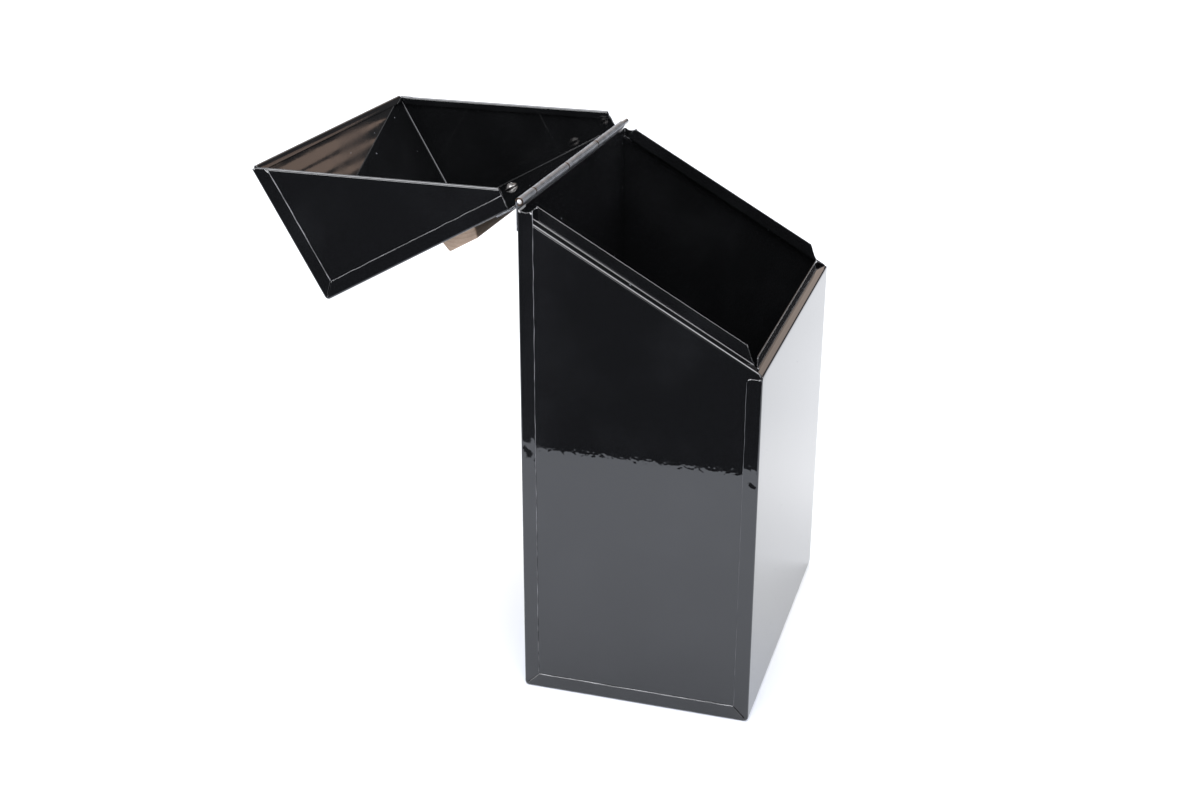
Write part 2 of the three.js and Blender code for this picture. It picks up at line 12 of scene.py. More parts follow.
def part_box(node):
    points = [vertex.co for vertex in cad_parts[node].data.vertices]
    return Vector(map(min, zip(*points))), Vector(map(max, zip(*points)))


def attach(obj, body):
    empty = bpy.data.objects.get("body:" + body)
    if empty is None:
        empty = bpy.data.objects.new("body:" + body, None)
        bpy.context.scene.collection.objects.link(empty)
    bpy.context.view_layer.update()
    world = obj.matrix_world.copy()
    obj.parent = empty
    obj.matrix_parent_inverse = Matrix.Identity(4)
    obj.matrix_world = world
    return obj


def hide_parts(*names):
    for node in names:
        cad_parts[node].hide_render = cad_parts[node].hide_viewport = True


bl_info = {
    "name": "Kindling Box",
    "version": (1, 0, 0),
    "blender": (4, 5, 0),
    "location": "View3D > Sidebar > Kindling Box",
    "description": "Models an enamelled kindling box on its packed frame",
    "category": "Add Mesh",
}

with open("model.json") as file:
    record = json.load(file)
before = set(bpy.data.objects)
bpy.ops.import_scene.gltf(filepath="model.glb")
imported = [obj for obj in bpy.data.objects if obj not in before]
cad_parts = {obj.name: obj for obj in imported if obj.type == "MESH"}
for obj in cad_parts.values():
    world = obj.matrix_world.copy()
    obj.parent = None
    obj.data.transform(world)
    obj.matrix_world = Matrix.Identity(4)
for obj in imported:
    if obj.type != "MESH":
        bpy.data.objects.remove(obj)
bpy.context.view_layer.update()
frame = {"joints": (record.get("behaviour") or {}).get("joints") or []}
WRAP_LOW, WRAP_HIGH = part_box("body_wrap")
PIN_LOW, PIN_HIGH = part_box("hinge_pin")
LID_JOINT = frame["joints"][0]
MM = 0.001
FIT = 0.0001  # left free between two sheets that lie against each other
SEAT = 0.00005  # left free between the lid's sheet and what is screwed to it
ROW_PITCH = 0.0035  # furthest apart that lines along a wrap lie
BEND_STEPS = 6
FOLD_STEPS = 5
CORNER_ROUND_STEPS = 3
KNUCKLES = 4
NEAR = 1e-6
MITRE_RUN = 0.0006  # a mitre's gap opens over this reach from the fold
CLEAR_OF_LIMIT = 0.0012  # flange points nearer than this to a cut are put on it
FLANGE_MASK = 0.00059  # how deep the uneven finish of the flanges' faces reaches
# the bands that paint shade in the knuckle gaps lie within the same reach
CUT_REACH = 0.0026  # the dull cut ends lie no further than this from the pin's axis
NODES_IN_ROW = 8


# ---- sizes and colours a user would change ----
def length(name, description, default):
    return FloatProperty(
        name=name,
        description=description,
        default=default,
        min=0.0,
        precision=5,
        unit="LENGTH",
        subtype="DISTANCE",
    )


def colour(name, description, default):
    return FloatVectorProperty(
        name=name,
        description=description,
        default=default,
        size=4,
        min=0.0,
        max=1.0,
        subtype="COLOR",
    )


class SheetSizes(bpy.types.PropertyGroup):
    """Sizes of the folded steel panels"""

    width: length("Width", "Across both side flanges", WRAP_HIGH[0] - WRAP_LOW[0] - 0.00002)
    depth: length("Depth", "Front face to back face", WRAP_HIGH[1] - WRAP_LOW[1])
    front_height: length("Front Height", "Floor to the shoulder of the front panel", 0.220)
    back_height: length("Back Height", "Floor to the top end of the back panel", WRAP_HIGH[2])
    lid_top: length("Lid Top", "Floor to the top of the shut lid", 0.308)
    mouth_drop: length("Mouth Drop", "Lid top down to the sides' shoulder at the back", 0.0089)
    sheet: length("Sheet", "Thickness of the steel", 0.0008)
    flange: length("Flange", "Width of the side flanges", 0.009)
    corner: length("Corner Bend", "Outer radius between two panels", 0.0025)
    fold: length("Flange Bend", "Outer radius between a panel and its flange", 0.0012)
    mitre: length("Mitre Gap", "Gap between two flanges at a corner", 0.0005)
    flange_drop: length("Flange Drop", "Front shoulder down to the top of the front flanges", 0.002)
    flange_end: length("Flange End", "Radius at the top of the front flanges", 0.0025)
    side_corner: length("Side Corner", "Cut across the lower corners of the side panels", 0.0012)
    ledge: length("Ledge", "Width of the ledge round the mouth", 0.0052)
    ledge_seam: length("Ledge Seam", "Lip back to where the front ledge's mitres stop", 0.0011)
    ledge_end: length("Ledge End", "Back face to the rear end of the side ledges", 0.0058)
    ledge_rise: length("Ledge Rise", "How far the ledge climbs over its width", 0.00065)
    lip_bend: length("Lip Bend", "Inner radius of the ledge and lip bends", 0.0007)
    side_lip: length("Side Lip", "Side lip above the shoulder, square to the slope", 0.0082)
    front_lip: length("Front Lip", "Front lip above the front shoulder", 0.0072)
    lip_end: length("Lip End", "Side faces to the ends of the front lip", 0.011)
    lip_chamfer: length("Lip Chamfer", "Cut across the front lip's upper corners", 0.0015)
    lip_foot: length("Lip Foot", "Front face to the front end of the side lips", 0.0077)
    rim_lift: length("Rim Lift", "Gap from the shoulder up to the shut lid's rim", 0.00112)
    hem: length("Hem", "Thickness of the folded rim", 0.0024)
    hem_height: length("Hem Height", "Height of the folded rim", 0.005)
    hem_setback: length("Hem Setback", "How far short of the next panel a folded rim stops", 0.0022)
    lid_end: length("Lid End", "Back face to the rear end of the lid's sides", 0.0096)
    lid_corner: length("Lid Corner", "Cut across the lid sides' upper front corners", 0.0017)
    edge_round: length("Edge Round", "Radius that the enamel leaves on a cut edge", 0.00037)
    bead: length("Seam Bead", "Radius of the enamel pooled in the lid's corners", 0.0011)
    groove_fill: length("Groove Fill", "How far the flanges bite into the panel behind", 0.0003)
    notch: length("Notch", "Dip in the top end of the back flanges", 0.0014)
    waviness: length("Waviness", "How far the flanges' free edges wander", 0.00027)


class HingeSizes(bpy.types.PropertyGroup):
    """Sizes of the strip hinge"""

    leaf: length("Leaf", "Pin axis to the long edge of a leaf", 0.017)
    leaf_sheet: length("Leaf Sheet", "Thickness of a leaf", 0.0008)
    knuckle: length("Knuckle Radius", "Outer radius of the barrel", 0.00235)
    bore: length("Bore Radius", "Inner radius of the barrel", 0.00173)
    pin: length("Pin Radius", "Radius of the pin", (PIN_HIGH[2] - PIN_LOW[2]) / 2)
    first_knuckle: length("First Knuckle", "Length of the first knuckle", 0.0228)
    bare_pin: length("Bare Pin", "Last knuckle to the far side face", 0.0108)
    gap: length("Knuckle Gap", "Gap between neighbouring knuckles", 0.0011)
    cutback: length("Cutback", "Pin axis to the lid's rear edge", 0.0041)
    leaf_inset: length("Leaf Inset", "Side faces to the ends of the leaves", 0.001)
    leaf_round: length("Leaf Edge", "Radius on the leaves' cut edges", 0.00022)
    opening: FloatProperty(
        name="Opening",
        description="How far the lid is thrown back from shut",
        default=math.radians(LID_JOINT["range_deg"][1]),
        subtype="ANGLE",
    )


class HandleSizes(bpy.types.PropertyGroup):
    """Sizes of the wooden handle and its screws"""

    bar: length("Length", "Length of the wooden bar", 0.120)
    base: length("Base", "Width where the bar meets the lid", 0.025)
    top: length("Top", "Width of the bar's outer face", 0.021)
    thickness: length("Thickness", "Height of the bar above the lid", 0.010)
    centre: length("Centre", "Bar's middle behind the box's middle", 0.003)
    ease: length("Eased Edge", "Radius of the sanded edges", 0.0010)
    spacing: length("Screw Spacing", "Distance between the screws", 0.075)
    head: length("Head Radius", "Radius of a screw's head", 0.0045)
    head_height: length("Head Height", "Height of a screw's dome and rim", 0.0033)
    head_rim: length("Head Rim", "Height of the upright rim under the dome", 0.0009)
    recess: length("Recess", "Depth of the cross in the head", 0.0015)
    arm: length("Cross Arm", "Middle of the cross to the end of an arm", 0.0022)
    arm_half: length("Cross Arm Half Width", "Half the width of an arm of the cross", 0.00055)
    shank: length("Shank Radius", "Radius of a screw's shank", 0.0019)
    shank_end: length("Shank End", "Length of a screw's shank as far as its point", 0.0060)
    tip: length("Screw Tip", "Length of a screw under its head", 0.0072)


class Finishes(bpy.types.PropertyGroup):
    """Colours of the finishes"""

    enamel: colour("Enamel", "Black gloss enamel", (0.0044, 0.0046, 0.0050, 1.0))
    # painted highlight: a pale colour along the flanges' free edges, standing in for their edge
    # highlights
    edge_highlight_paint: colour("Worn Edge", "Enamel worn on the flanges' edges", (0.21, 0.21, 0.22, 1.0))
    dust: colour("Dust", "Specks lying on the enamel", (0.11, 0.115, 0.13, 1.0))
    plating: colour("Plating", "Zinc plate on the hinge", (0.235, 0.243, 0.258, 1.0))
    screw: colour("Screws", "Dull plate on the screws", (0.17, 0.162, 0.155, 1.0))
    # partly painted shade: besides the dull cut ends, this colour darkens the knuckle gaps as shade
    # would
    cut_steel_and_gap_shade: colour("Cut Steel", "Dull cut ends of the plated strip", (0.050, 0.033, 0.024, 1.0))
    pin: colour("Pin", "Drawn steel of the pin", (0.26, 0.26, 0.265, 1.0))
    pin_end: colour("Pin End", "Bright cut end of the pin", (0.75, 0.73, 0.70, 1.0))
    wood_pale: colour("Pale Wood", "Early wood of the handle", (0.50, 0.365, 0.265, 1.0))
    wood_dark: colour("Dark Wood", "Late wood of the handle", (0.41, 0.29, 0.205, 1.0))
    floor: colour("Floor", "Studio floor", (0.93, 0.932, 0.937, 1.0))
    floor_shade: colour("Shaded Floor", "Floor away from the light", (0.80, 0.825, 0.885, 1.0))
    # painted shade: the colour of the painted shadow beside the box and of the painted dimming
    # beyond it
    painted_floor_shade: colour("Floor Dusk", "Tint beside and beyond the box", (0.1, 0.13, 0.18, 1.0))
    # painted reflection: the card is seen only in the gloss, as a dark region off the near side
    card: colour("Card", "Dark card beside the box", (0.009, 0.009, 0.010, 1.0))
    card_mottle: colour("Card Mottle", "Paler parts of the card", (0.012, 0.012, 0.014, 1.0))


class KindlingBox(bpy.types.PropertyGroup):
    """Everything that can be changed on the kindling box"""

    sheet: PointerProperty(type=SheetSizes)
    hinge: PointerProperty(type=HingeSizes)
    handle: PointerProperty(type=HandleSizes)
    finish: PointerProperty(type=Finishes)


# ---- places that follow from the sizes ----
def mouth_slope(s):
    return (s.lid_top - s.mouth_drop - s.front_height) / s.depth


def shoulder(s, y):
    """Height of the sides' shoulder line at y."""
    return s.front_height + (y + s.depth / 2) * mouth_slope(s)


def pin_axis(s, h):
    """The pin's axis as (y, z)."""
    return (s.depth / 2 + h.leaf_sheet - h.knuckle, s.lid_top + h.leaf_sheet - h.knuckle)


def lid_turn(s, h):
    """Turns what is drawn with the lid shut to where the lid lies thrown back."""
    y, z = pin_axis(s, h)
    to_axis = Matrix.Translation((0, y, z))
    return to_axis @ Matrix.Rotation(-h.opening, 4, "X") @ to_axis.inverted()


# ---- modelling helpers ----
def steps(start, end, pitch):
    """Numbers from start to end, no further apart than pitch."""
    count = max(1, math.ceil(abs(end - start) / pitch))
    return [start + (end - start) * i / count for i in range(count + 1)]


def bent_path(corners, radii, pitch):
    """Points and outward normals along a folded sheet's outer face, its metal on the right."""
    path = []

    def add(point, along):
        if not path or (path[-1][0] - point).length > NEAR:
            path.append((point, Vector((-along.y, along.x))))

    points = [Vector(c) for c in corners]
    start = points[0]
    for i in range(1, len(points)):
        along = (points[i] - points[i - 1]).normalized()
        radius = radii[i - 1] if i < len(points) - 1 else 0.0
        cut = 0.0
        if radius:
            ahead = (points[i + 1] - points[i]).normalized()
            turn = along.angle_signed(ahead)
            cut = radius * math.tan(abs(turn) / 2)
        end = points[i] - along * cut
        for share in steps(0.0, 1.0, pitch / max((end - start).length, 1e-9)):
            add(start.lerp(end, share), along)
        start = end
        if radius:
            side = Vector((along.y, -along.x)) * (1 if turn > 0 else -1)
            centre = end + side * radius
            for k in range(1, BEND_STEPS + 1):
                spin = Matrix.Rotation(-turn * k / BEND_STEPS, 2)
                add(centre - (spin @ side) * radius, spin @ along)
            start = path[-1][0].copy()
    return path


def extrude_line(bm, line, edges, places):
    """Extrudes a line of vertices to new places and returns the new line and its edges."""
    grown = set(bmesh.ops.extrude_edge_only(bm, edges=edges)["geom"])
    ahead = []
    for vert, place in zip(line, places):
        partner = next(e.other_vert(vert) for e in vert.link_edges if e.other_vert(vert) in grown)
        partner.co = place
        ahead.append(partner)
    pairs = [bm.edges.get(pair) for pair in zip(ahead, ahead[1:])]
    return ahead, pairs


def loft(bm, rows):
    """A sheet through rows of points, made by extruding the first row. Returns its lines."""
    line = [bm.verts.new(place) for place in rows[0]]
    edges = [bm.edges.new(pair) for pair in zip(line, line[1:])]
    lines = [line]
    for places in rows[1:]:
        line, edges = extrude_line(bm, line, edges, places)
        lines.append(line)
    return lines


def grow_from(bm, line, rows):
    """Carries an existing line of vertices on through rows of points."""
    edges = [bm.edges.get(pair) for pair in zip(line, line[1:])]
    for places in rows:
        line, edges = extrude_line(bm, line, edges, places)
    return line


def settle(bm, outward):
    """Merges doubles and turns the sheet so that its largest face looks outward."""
    bmesh.ops.remove_doubles(bm, verts=bm.verts, dist=2e-6)
    bmesh.ops.dissolve_degenerate(bm, dist=1e-7, edges=bm.edges)
    bmesh.ops.recalc_face_normals(bm, faces=bm.faces)
    widest = max(bm.faces, key=lambda f: f.calc_area())
    if widest.normal.dot(Vector(outward)) < 0:
        bmesh.ops.reverse_faces(bm, faces=bm.faces)


def wander(place, seed, pitch):
    """Smooth noise between -1 and 1 that is the same on every run."""
    return noise.noise(Vector(place) / pitch + Vector((seed * 7.3, seed * 3.1, seed)))


def add_piece(name, bm, material, cad_node, body, matrix=None):
    """Makes the bmesh an object at the origin that stands for a CAD node and rides on its body."""
    if matrix:
        bmesh.ops.transform(bm, matrix=matrix, verts=bm.verts)
    for face in bm.faces:
        face.smooth = True
    mesh = bpy.data.meshes.new(name)
    bm.to_mesh(mesh)
    bm.free()
    piece = bpy.data.objects.new(name, mesh)
    bpy.context.scene.collection.objects.link(piece)
    mesh.materials.append(material)
    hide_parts(cad_node)
    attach(piece, body)
    return piece


def give_thickness(piece, thickness, edge, group=None, thin=1.0):
    """Gives a folded sheet its thickness and rounds its cut edges as enamel leaves them.

    Where group is given, its weights thin the sheet and are then kept as an attribute, which marks
    the painted highlight on a wrap's free edges.
    """
    solid = piece.modifiers.new("Sheet", "SOLIDIFY")
    solid.thickness = thickness
    solid.offset = -1.0
    solid.use_even_offset = True
    solid.use_quality_normals = True
    if group:
        solid.vertex_group = group
        solid.thickness_vertex_group = thin
    bm = bmesh.new()
    bm.from_object(piece, bpy.context.evaluated_depsgraph_get())
    piece.modifiers.clear()
    round_edges(bm, edge)
    if group:
        thickening_weight = bm.verts.layers.float.new("thickening_weight")
        weights = bm.verts.layers.deform.active
        for vert in bm.verts:
            vert[thickening_weight] = vert[weights].get(0, 0.0)
        bm.verts.layers.deform.remove(weights)
    piece.vertex_groups.clear()
    bm.to_mesh(piece.data)
    bm.free()
    flat_panels(piece)


def round_edges(bm, radius):
    """Rounds every sharp edge that has room for the radius."""
    inner = (e for e in bm.edges if len(e.link_faces) == 2)
    turned = (e for e in inner if e.calc_face_angle() > math.radians(48))
    sharp = {e for e in turned if e.calc_length() > 3 * radius}

    def has_room(edge):
        around = (other for v in edge.verts for other in v.link_edges)
        return all(other in sharp or other.calc_length() > 1.15 * radius for other in around)

    bmesh.ops.bevel(
        bm,
        geom=[e for e in bm.edges if e in sharp and has_room(e)],
        offset=radius,
        offset_type="OFFSET",
        segments=CORNER_ROUND_STEPS,
        profile=0.5,
        affect="EDGES",
        material=-1,
        clamp_overlap=True,
    )
    for face in bm.faces:
        face.smooth = True


def flat_panels(piece, weight=80, keep_sharp=True):
    """Keeps large faces flat in the gloss beside their small bends."""
    normals = piece.modifiers.new("Flat Panels", "WEIGHTED_NORMAL")
    normals.weight = weight
    normals.keep_sharp = keep_sharp


def thicken_wrap(piece, s):
    """Gives a wrap its thickness, and more at the free edges, which close on the panel behind."""
    piece.vertex_groups.new(name="Flange Edge")
    full = s.sheet + s.groove_fill
    give_thickness(piece, full, s.edge_round, "Flange Edge", s.sheet / full)


# ---- shader nodes ----
def feed(tree, socket, value):
    """Gives a socket a number, a colour, a vector or another node's output."""
    if isinstance(value, bpy.types.NodeSocket):
        tree.links.new(value, socket)
    elif isinstance(value, (int, float)):
        socket.default_value = value
    elif value is not None:
        socket.default_value = tuple(value)


def add_node(tree, kind, *inputs, **values):
    """Adds a node, sets its values and feeds its inputs in order, passing over each None."""
    made = tree.nodes.new(kind)
    row, column = divmod(len(tree.nodes), NODES_IN_ROW)
    made.location = (column * 220, row * -320)
    for key, value in values.items():
        setattr(made, key, value)
    for socket, value in zip(made.inputs, inputs):
        feed(tree, socket, value)
    return made


def feed_named(tree, made, values):
    for label, value in values.items():
        feed(tree, made.inputs[label], value)


def maths(tree, operation, a, b=None, clamp=False):
    return add_node(tree, "ShaderNodeMath", a, b, operation=operation, use_clamp=clamp).outputs[0]


def ramp(tree, factor, low, high, to_low=0.0, to_high=1.0):
    """Eases from one value to another as the factor goes from low to high."""
    inputs = (factor, low, high, to_low, to_high)
    made = add_node(tree, "ShaderNodeMapRange", *inputs, interpolation_type="SMOOTHSTEP")
    return made.outputs["Result"]


def mix(tree, factor, a, b):
    made = add_node(tree, "ShaderNodeMix", factor, data_type="RGBA")
    feed(tree, made.inputs[6], a)
    feed(tree, made.inputs[7], b)
    return made.outputs[2]


def noise_of(tree, vector, scale, detail, rough=0.5):
    made = add_node(tree, "ShaderNodeTexNoise")
    feed_named(tree, made, {"Vector": vector, "Scale": scale, "Detail": detail, "Roughness": rough})
    return made.outputs["Fac"]


def split_of(tree, vector):
    return add_node(tree, "ShaderNodeSeparateXYZ", vector).outputs


def scaled(tree, vector, factor):
    made = add_node(tree, "ShaderNodeVectorMath", vector, operation="SCALE")
    feed(tree, made.inputs["Scale"], factor)
    return made.outputs[0]


def stretched(tree, vector, by):
    return add_node(tree, "ShaderNodeVectorMath", vector, by, operation="MULTIPLY").outputs[0]


def distance_to(tree, vector, point):
    made = add_node(tree, "ShaderNodeVectorMath", vector, point, operation="DISTANCE")
    return made.outputs["Value"]


def shared_group(name, inputs, outputs, fill):
    """The named node group, filled once.

    inputs holds each number socket's label and default; fill takes the tree and the group's inputs
    and gives back one value for each output.
    """
    tree = bpy.data.node_groups.get(name)
    if tree:
        return tree
    tree = bpy.data.node_groups.new(name, "ShaderNodeTree")
    tree.interface.new_socket("Vector", in_out="INPUT", socket_type="NodeSocketVector")
    for label, default in inputs.items():
        socket = tree.interface.new_socket(label, in_out="INPUT", socket_type="NodeSocketFloat")
        socket.default_value = default
    for label in outputs:
        tree.interface.new_socket(label, in_out="OUTPUT", socket_type="NodeSocketFloat")
    results = fill(tree, add_node(tree, "NodeGroupInput").outputs)
    feed_named(tree, add_node(tree, "NodeGroupOutput"), dict(zip(outputs, results)))
    return tree


def use_group(tree, group, vector, **values):
    made = add_node(tree, "ShaderNodeGroup", node_tree=group)
    feed(tree, made.inputs["Vector"], vector)
    feed_named(tree, made, {label.replace("_", " "): value for label, value in values.items()})
    return made.outputs


def coat_relief_group():
    """Height of sprayed enamel: fine orange peel on long, low waves of the sheet."""

    def fill(tree, given):
        parts = []
        for label, detail in (("Peel", 1.0), ("Ripple", 1.0), ("Wave", 0.0)):
            pattern = noise_of(tree, given["Vector"], given[f"{label} Scale"], detail)
            parts.append(maths(tree, "MULTIPLY", pattern, given[f"{label} Height"]))
        peel, ripple, wave = parts
        return [maths(tree, "ADD", maths(tree, "ADD", peel, ripple), wave)]

    inputs = {
        "Peel Scale": 700.0,
        "Peel Height": 0.0,
        "Ripple Scale": 70.0,
        "Ripple Height": 0.0,
        "Wave Scale": 12.0,
        "Wave Height": 0.0,
    }
    return shared_group("Coat Relief", inputs, ["Height"], fill)


def dust_group():
    """Mask of scattered specks, and of a broad soft film."""

    def fill(tree, given):
        cells = add_node(tree, "ShaderNodeTexVoronoi")
        feed_named(tree, cells, {"Vector": given["Vector"], "Scale": given["Speck Scale"]})
        near = maths(tree, "LESS_THAN", cells.outputs["Distance"], given["Speck Size"])
        tone = add_node(tree, "ShaderNodeSeparateColor", cells.outputs["Color"])
        rare = maths(tree, "GREATER_THAN", tone.outputs[0], 0.86)
        film = noise_of(tree, given["Vector"], given["Film Scale"], 3.0)
        return [maths(tree, "MULTIPLY", near, rare), ramp(tree, film, 0.42, 0.75)]

    inputs = {"Speck Scale": 160.0, "Speck Size": 0.06, "Film Scale": 25.0}
    return shared_group("Dust", inputs, ["Specks", "Film"], fill)


def turned_rings_group():
    """Fine rings round an axis along X, with uneven depth and a rubbed tone."""

    def fill(tree, given):
        squeezed = stretched(tree, given["Vector"], (1.0, 0.02, 0.02))
        rings = noise_of(tree, squeezed, given["Ring Scale"], 2.0, 0.7)
        blotch = noise_of(tree, given["Vector"], given["Blotch Scale"], 3.0, 0.6)
        return [rings, ramp(tree, blotch, 0.35, 0.7)]

    inputs = {"Ring Scale": 700.0, "Blotch Scale": 150.0}
    return shared_group("Turned Rings", inputs, ["Height", "Blotch"], fill)


def wood_grain_group():
    """Growth rings and pores of a board whose grain runs along X."""

    def fill(tree, given):
        along = stretched(tree, given["Vector"], (0.09, 1.0, 1.0))
        drift = maths(tree, "MULTIPLY", noise_of(tree, along, 55.0, 2.0), given["Wander"])
        _, y, z = split_of(tree, along)
        square = maths(tree, "ADD", maths(tree, "MULTIPLY", y, y), maths(tree, "MULTIPLY", z, z))
        moved = maths(tree, "ADD", maths(tree, "SQRT", square), drift)
        saw = maths(tree, "FRACT", maths(tree, "DIVIDE", moved, given["Ring Pitch"]))
        pores = ramp(tree, noise_of(tree, along, 1900.0, 2.0, 0.7), 0.56, 0.74)
        return [maths(tree, "POWER", saw, 2.2), pores, noise_of(tree, along, 90.0, 3.0, 0.6)]

    inputs = {"Ring Pitch": 0.0022, "Wander": 0.0012}
    return shared_group("Wood Grain", inputs, ["Rings", "Pores", "Tone"], fill)


# ---- materials ----
def new_material(name):
    """A material, its tree, its shader and the piece's Object coordinates."""
    material = bpy.data.materials.new(name)
    material.use_nodes = True
    tree = material.node_tree
    place = add_node(tree, "ShaderNodeTexCoord").outputs["Object"]
    return material, tree, tree.nodes["Principled BSDF"], place


def shade_of(colour, share):
    """A colour made darker, or paler by a share above 1."""
    return [part * share for part in colour[:3]] + [1.0]


def bump(tree, shader, height, distance):
    made = add_node(tree, "ShaderNodeBump")
    feed_named(tree, made, {"Strength": 1.0, "Distance": distance, "Height": height})
    tree.links.new(made.outputs["Normal"], shader.inputs["Normal"])


def enamel_material(name, colours, face_x, peel, ripple, wave, dents):
    """Black gloss enamel with orange peel, long waves, a thin film, specks of dust and a painted
    highlight along the flanges' free edges.

    Outside face_x it lies on the flanges, which were beaten over and are less even than the panels.
    """
    material, tree, shader, place = new_material(name)
    dust = use_group(
        tree, dust_group(), place, Speck_Scale=170.0, Speck_Size=0.085, Film_Scale=22.0
    )
    film = mix(tree, dust["Film"], colours.enamel, shade_of(colours.enamel, 1.6))
    dusty = mix(tree, dust["Specks"], film, colours.dust)
    # painted highlight: pale enamel along the flanges' free edges stands in for their edge
    # highlights; noise breaks it up
    edge = add_node(tree, "ShaderNodeAttribute", attribute_name="thickening_weight").outputs["Fac"]
    rubbed = ramp(tree, noise_of(tree, place, 95.0, 2.0), 0.36, 0.66, 0.2, 1.0)
    painted_highlight = maths(tree, "MULTIPLY", ramp(tree, edge, 0.75, 0.95), rubbed)
    rough = ramp(tree, dust["Film"], 0.0, 1.0, 0.02, 0.05)
    relief = use_group(
        tree,
        coat_relief_group(),
        place,
        Peel_Scale=620.0,
        Peel_Height=peel,
        Ripple_Scale=310.0,
        Ripple_Height=ripple,
        Wave_Scale=14.0,
        Wave_Height=wave,
    )
    aside = maths(tree, "ABSOLUTE", split_of(tree, place)[0])
    beaten = maths(tree, "MULTIPLY", noise_of(tree, place, 95.0, 1.0), dents)
    beaten = maths(tree, "MULTIPLY", maths(tree, "GREATER_THAN", aside, face_x), beaten)
    bump(tree, shader, maths(tree, "ADD", relief["Height"], beaten), MM)
    specked = maths(tree, "ADD", rough, maths(tree, "MULTIPLY", dust["Specks"], 0.5))
    base = mix(tree, painted_highlight, dusty, colours.edge_highlight_paint)
    feed_named(tree, shader, {"Base Color": base, "Roughness": specked, "IOR": 1.62})
    return material


def cut_mask(tree, place, cuts, axis):
    """Mask of narrow bands close round an axis along X, from (x, half width) for each."""
    x, y, z = split_of(tree, place)
    level = add_node(tree, "ShaderNodeCombineXYZ", None, y, z).outputs[0]
    mask = 0.0
    for middle, half in cuts:
        away = maths(tree, "ABSOLUTE", maths(tree, "SUBTRACT", x, middle))
        mask = maths(tree, "MAXIMUM", mask, maths(tree, "LESS_THAN", away, half))
    near = maths(tree, "LESS_THAN", distance_to(tree, level, axis), CUT_REACH)
    return maths(tree, "MULTIPLY", mask, near)


def plated_material(name, base, rings, depth, rough, cuts=(), cut_colour=None, axis=None):
    """Plated or drawn steel with fine rings round the X axis and dull blotches.

    cuts holds (x, half width) of bands in cut_colour round the axis, a point (0, y, z).
    """
    material, tree, shader, place = new_material(name)
    turned = use_group(tree, turned_rings_group(), place, Ring_Scale=rings, Blotch_Scale=170.0)
    tone = mix(tree, turned["Blotch"], base, shade_of(base, 0.62))
    gloss = ramp(tree, turned["Height"], 0.3, 0.7, *rough)
    if cuts:
        cut = cut_mask(tree, place, cuts, axis)
        tone = mix(tree, cut, tone, cut_colour)
        gloss = maths(tree, "MAXIMUM", gloss, maths(tree, "MULTIPLY", cut, 0.5))
    feed_named(tree, shader, {"Base Color": tone, "Roughness": gloss, "Metallic": 1.0})
    bump(tree, shader, turned["Height"], depth)
    return material


def wood_material(name, colours, centre):
    """Bare sanded wood, its growth rings centred outside the bar."""
    material, tree, shader, place = new_material(name)
    shift = add_node(tree, "ShaderNodeMapping", place)
    shift.inputs["Location"].default_value = -centre
    grain = use_group(tree, wood_grain_group(), shift.outputs[0], Ring_Pitch=0.0024, Wander=0.0030)
    rings = mix(tree, grain["Rings"], colours.wood_pale, colours.wood_dark)
    toned = scaled(tree, rings, ramp(tree, grain["Tone"], 0.3, 0.7, 0.82, 1.12))
    share = maths(tree, "MULTIPLY", grain["Pores"], 0.4)
    base = mix(tree, share, toned, shade_of(colours.wood_dark, 0.45))
    rough = ramp(tree, grain["Rings"], 0.0, 1.0, 0.62, 0.46)
    feed_named(tree, shader, {"Base Color": base, "Roughness": rough})
    bump(tree, shader, maths(tree, "SUBTRACT", grain["Rings"], grain["Pores"]), 0.06 * MM)
    return material


def matt(tree, shader, base, rough):
    """Finishes a studio surface that mirrors nothing."""
    feed_named(tree, shader, {"Base Color": base, "Roughness": rough, "Specular IOR Level": 0.0})


def floor_material(name, colours):
    """Pale studio floor with painted shade: bluer on the shaded side, a painted shadow beside the
    box and painted dimming beyond it.
    """
    material, tree, shader, place = new_material(name)
    x = split_of(tree, place)[0]
    tone = mix(tree, ramp(tree, x, -0.13, 0.06), colours.floor_shade, colours.floor)
    # painted contact shadow: the floor darkens towards the box's front and right
    beside = ramp(tree, distance_to(tree, place, (0.02, -0.10, 0.0)), 0.26, 0.06, 0.0, 0.11)
    # painted shade: the floor darkens beyond the box, away from the light
    beyond = ramp(tree, x, 0.20, 0.42, 0.0, 0.11)
    for share in (beside, beyond):
        tone = mix(tree, share, tone, colours.painted_floor_shade)
    uneven = ramp(tree, noise_of(tree, place, 3.0, 2.0), 0.3, 0.7, 0.99, 1.02)
    matt(tree, shader, scaled(tree, tone, uneven), 0.55)
    return material


def card_material(name, colours):
    material, tree, shader, place = new_material(name)
    uneven = noise_of(tree, place, 2.0, 2.0)
    matt(tree, shader, mix(tree, uneven, colours.card, colours.card_mottle), 0.9)
    return material


def shared_material(name, make, *details):
    return bpy.data.materials.get(name) or make(name, *details)


def body_enamel(box):
    """Enamel of the box, its relief in millimetres: peel, ripple, wave and the flanges' dents."""
    face_x = box.sheet.width / 2 - FLANGE_MASK
    relief = (0.0018, 0.0135, 0.045, 0.22)
    return shared_material("Black Enamel", enamel_material, box.finish, face_x, *relief)


def lid_enamel(box):
    """The lid's enamel, smoother than the box's."""
    face_x = box.sheet.width / 2 - FLANGE_MASK
    relief = (0.0004, 0.0003, 0.004, 0.03)
    return shared_material("Lid Enamel", enamel_material, box.finish, face_x, *relief)


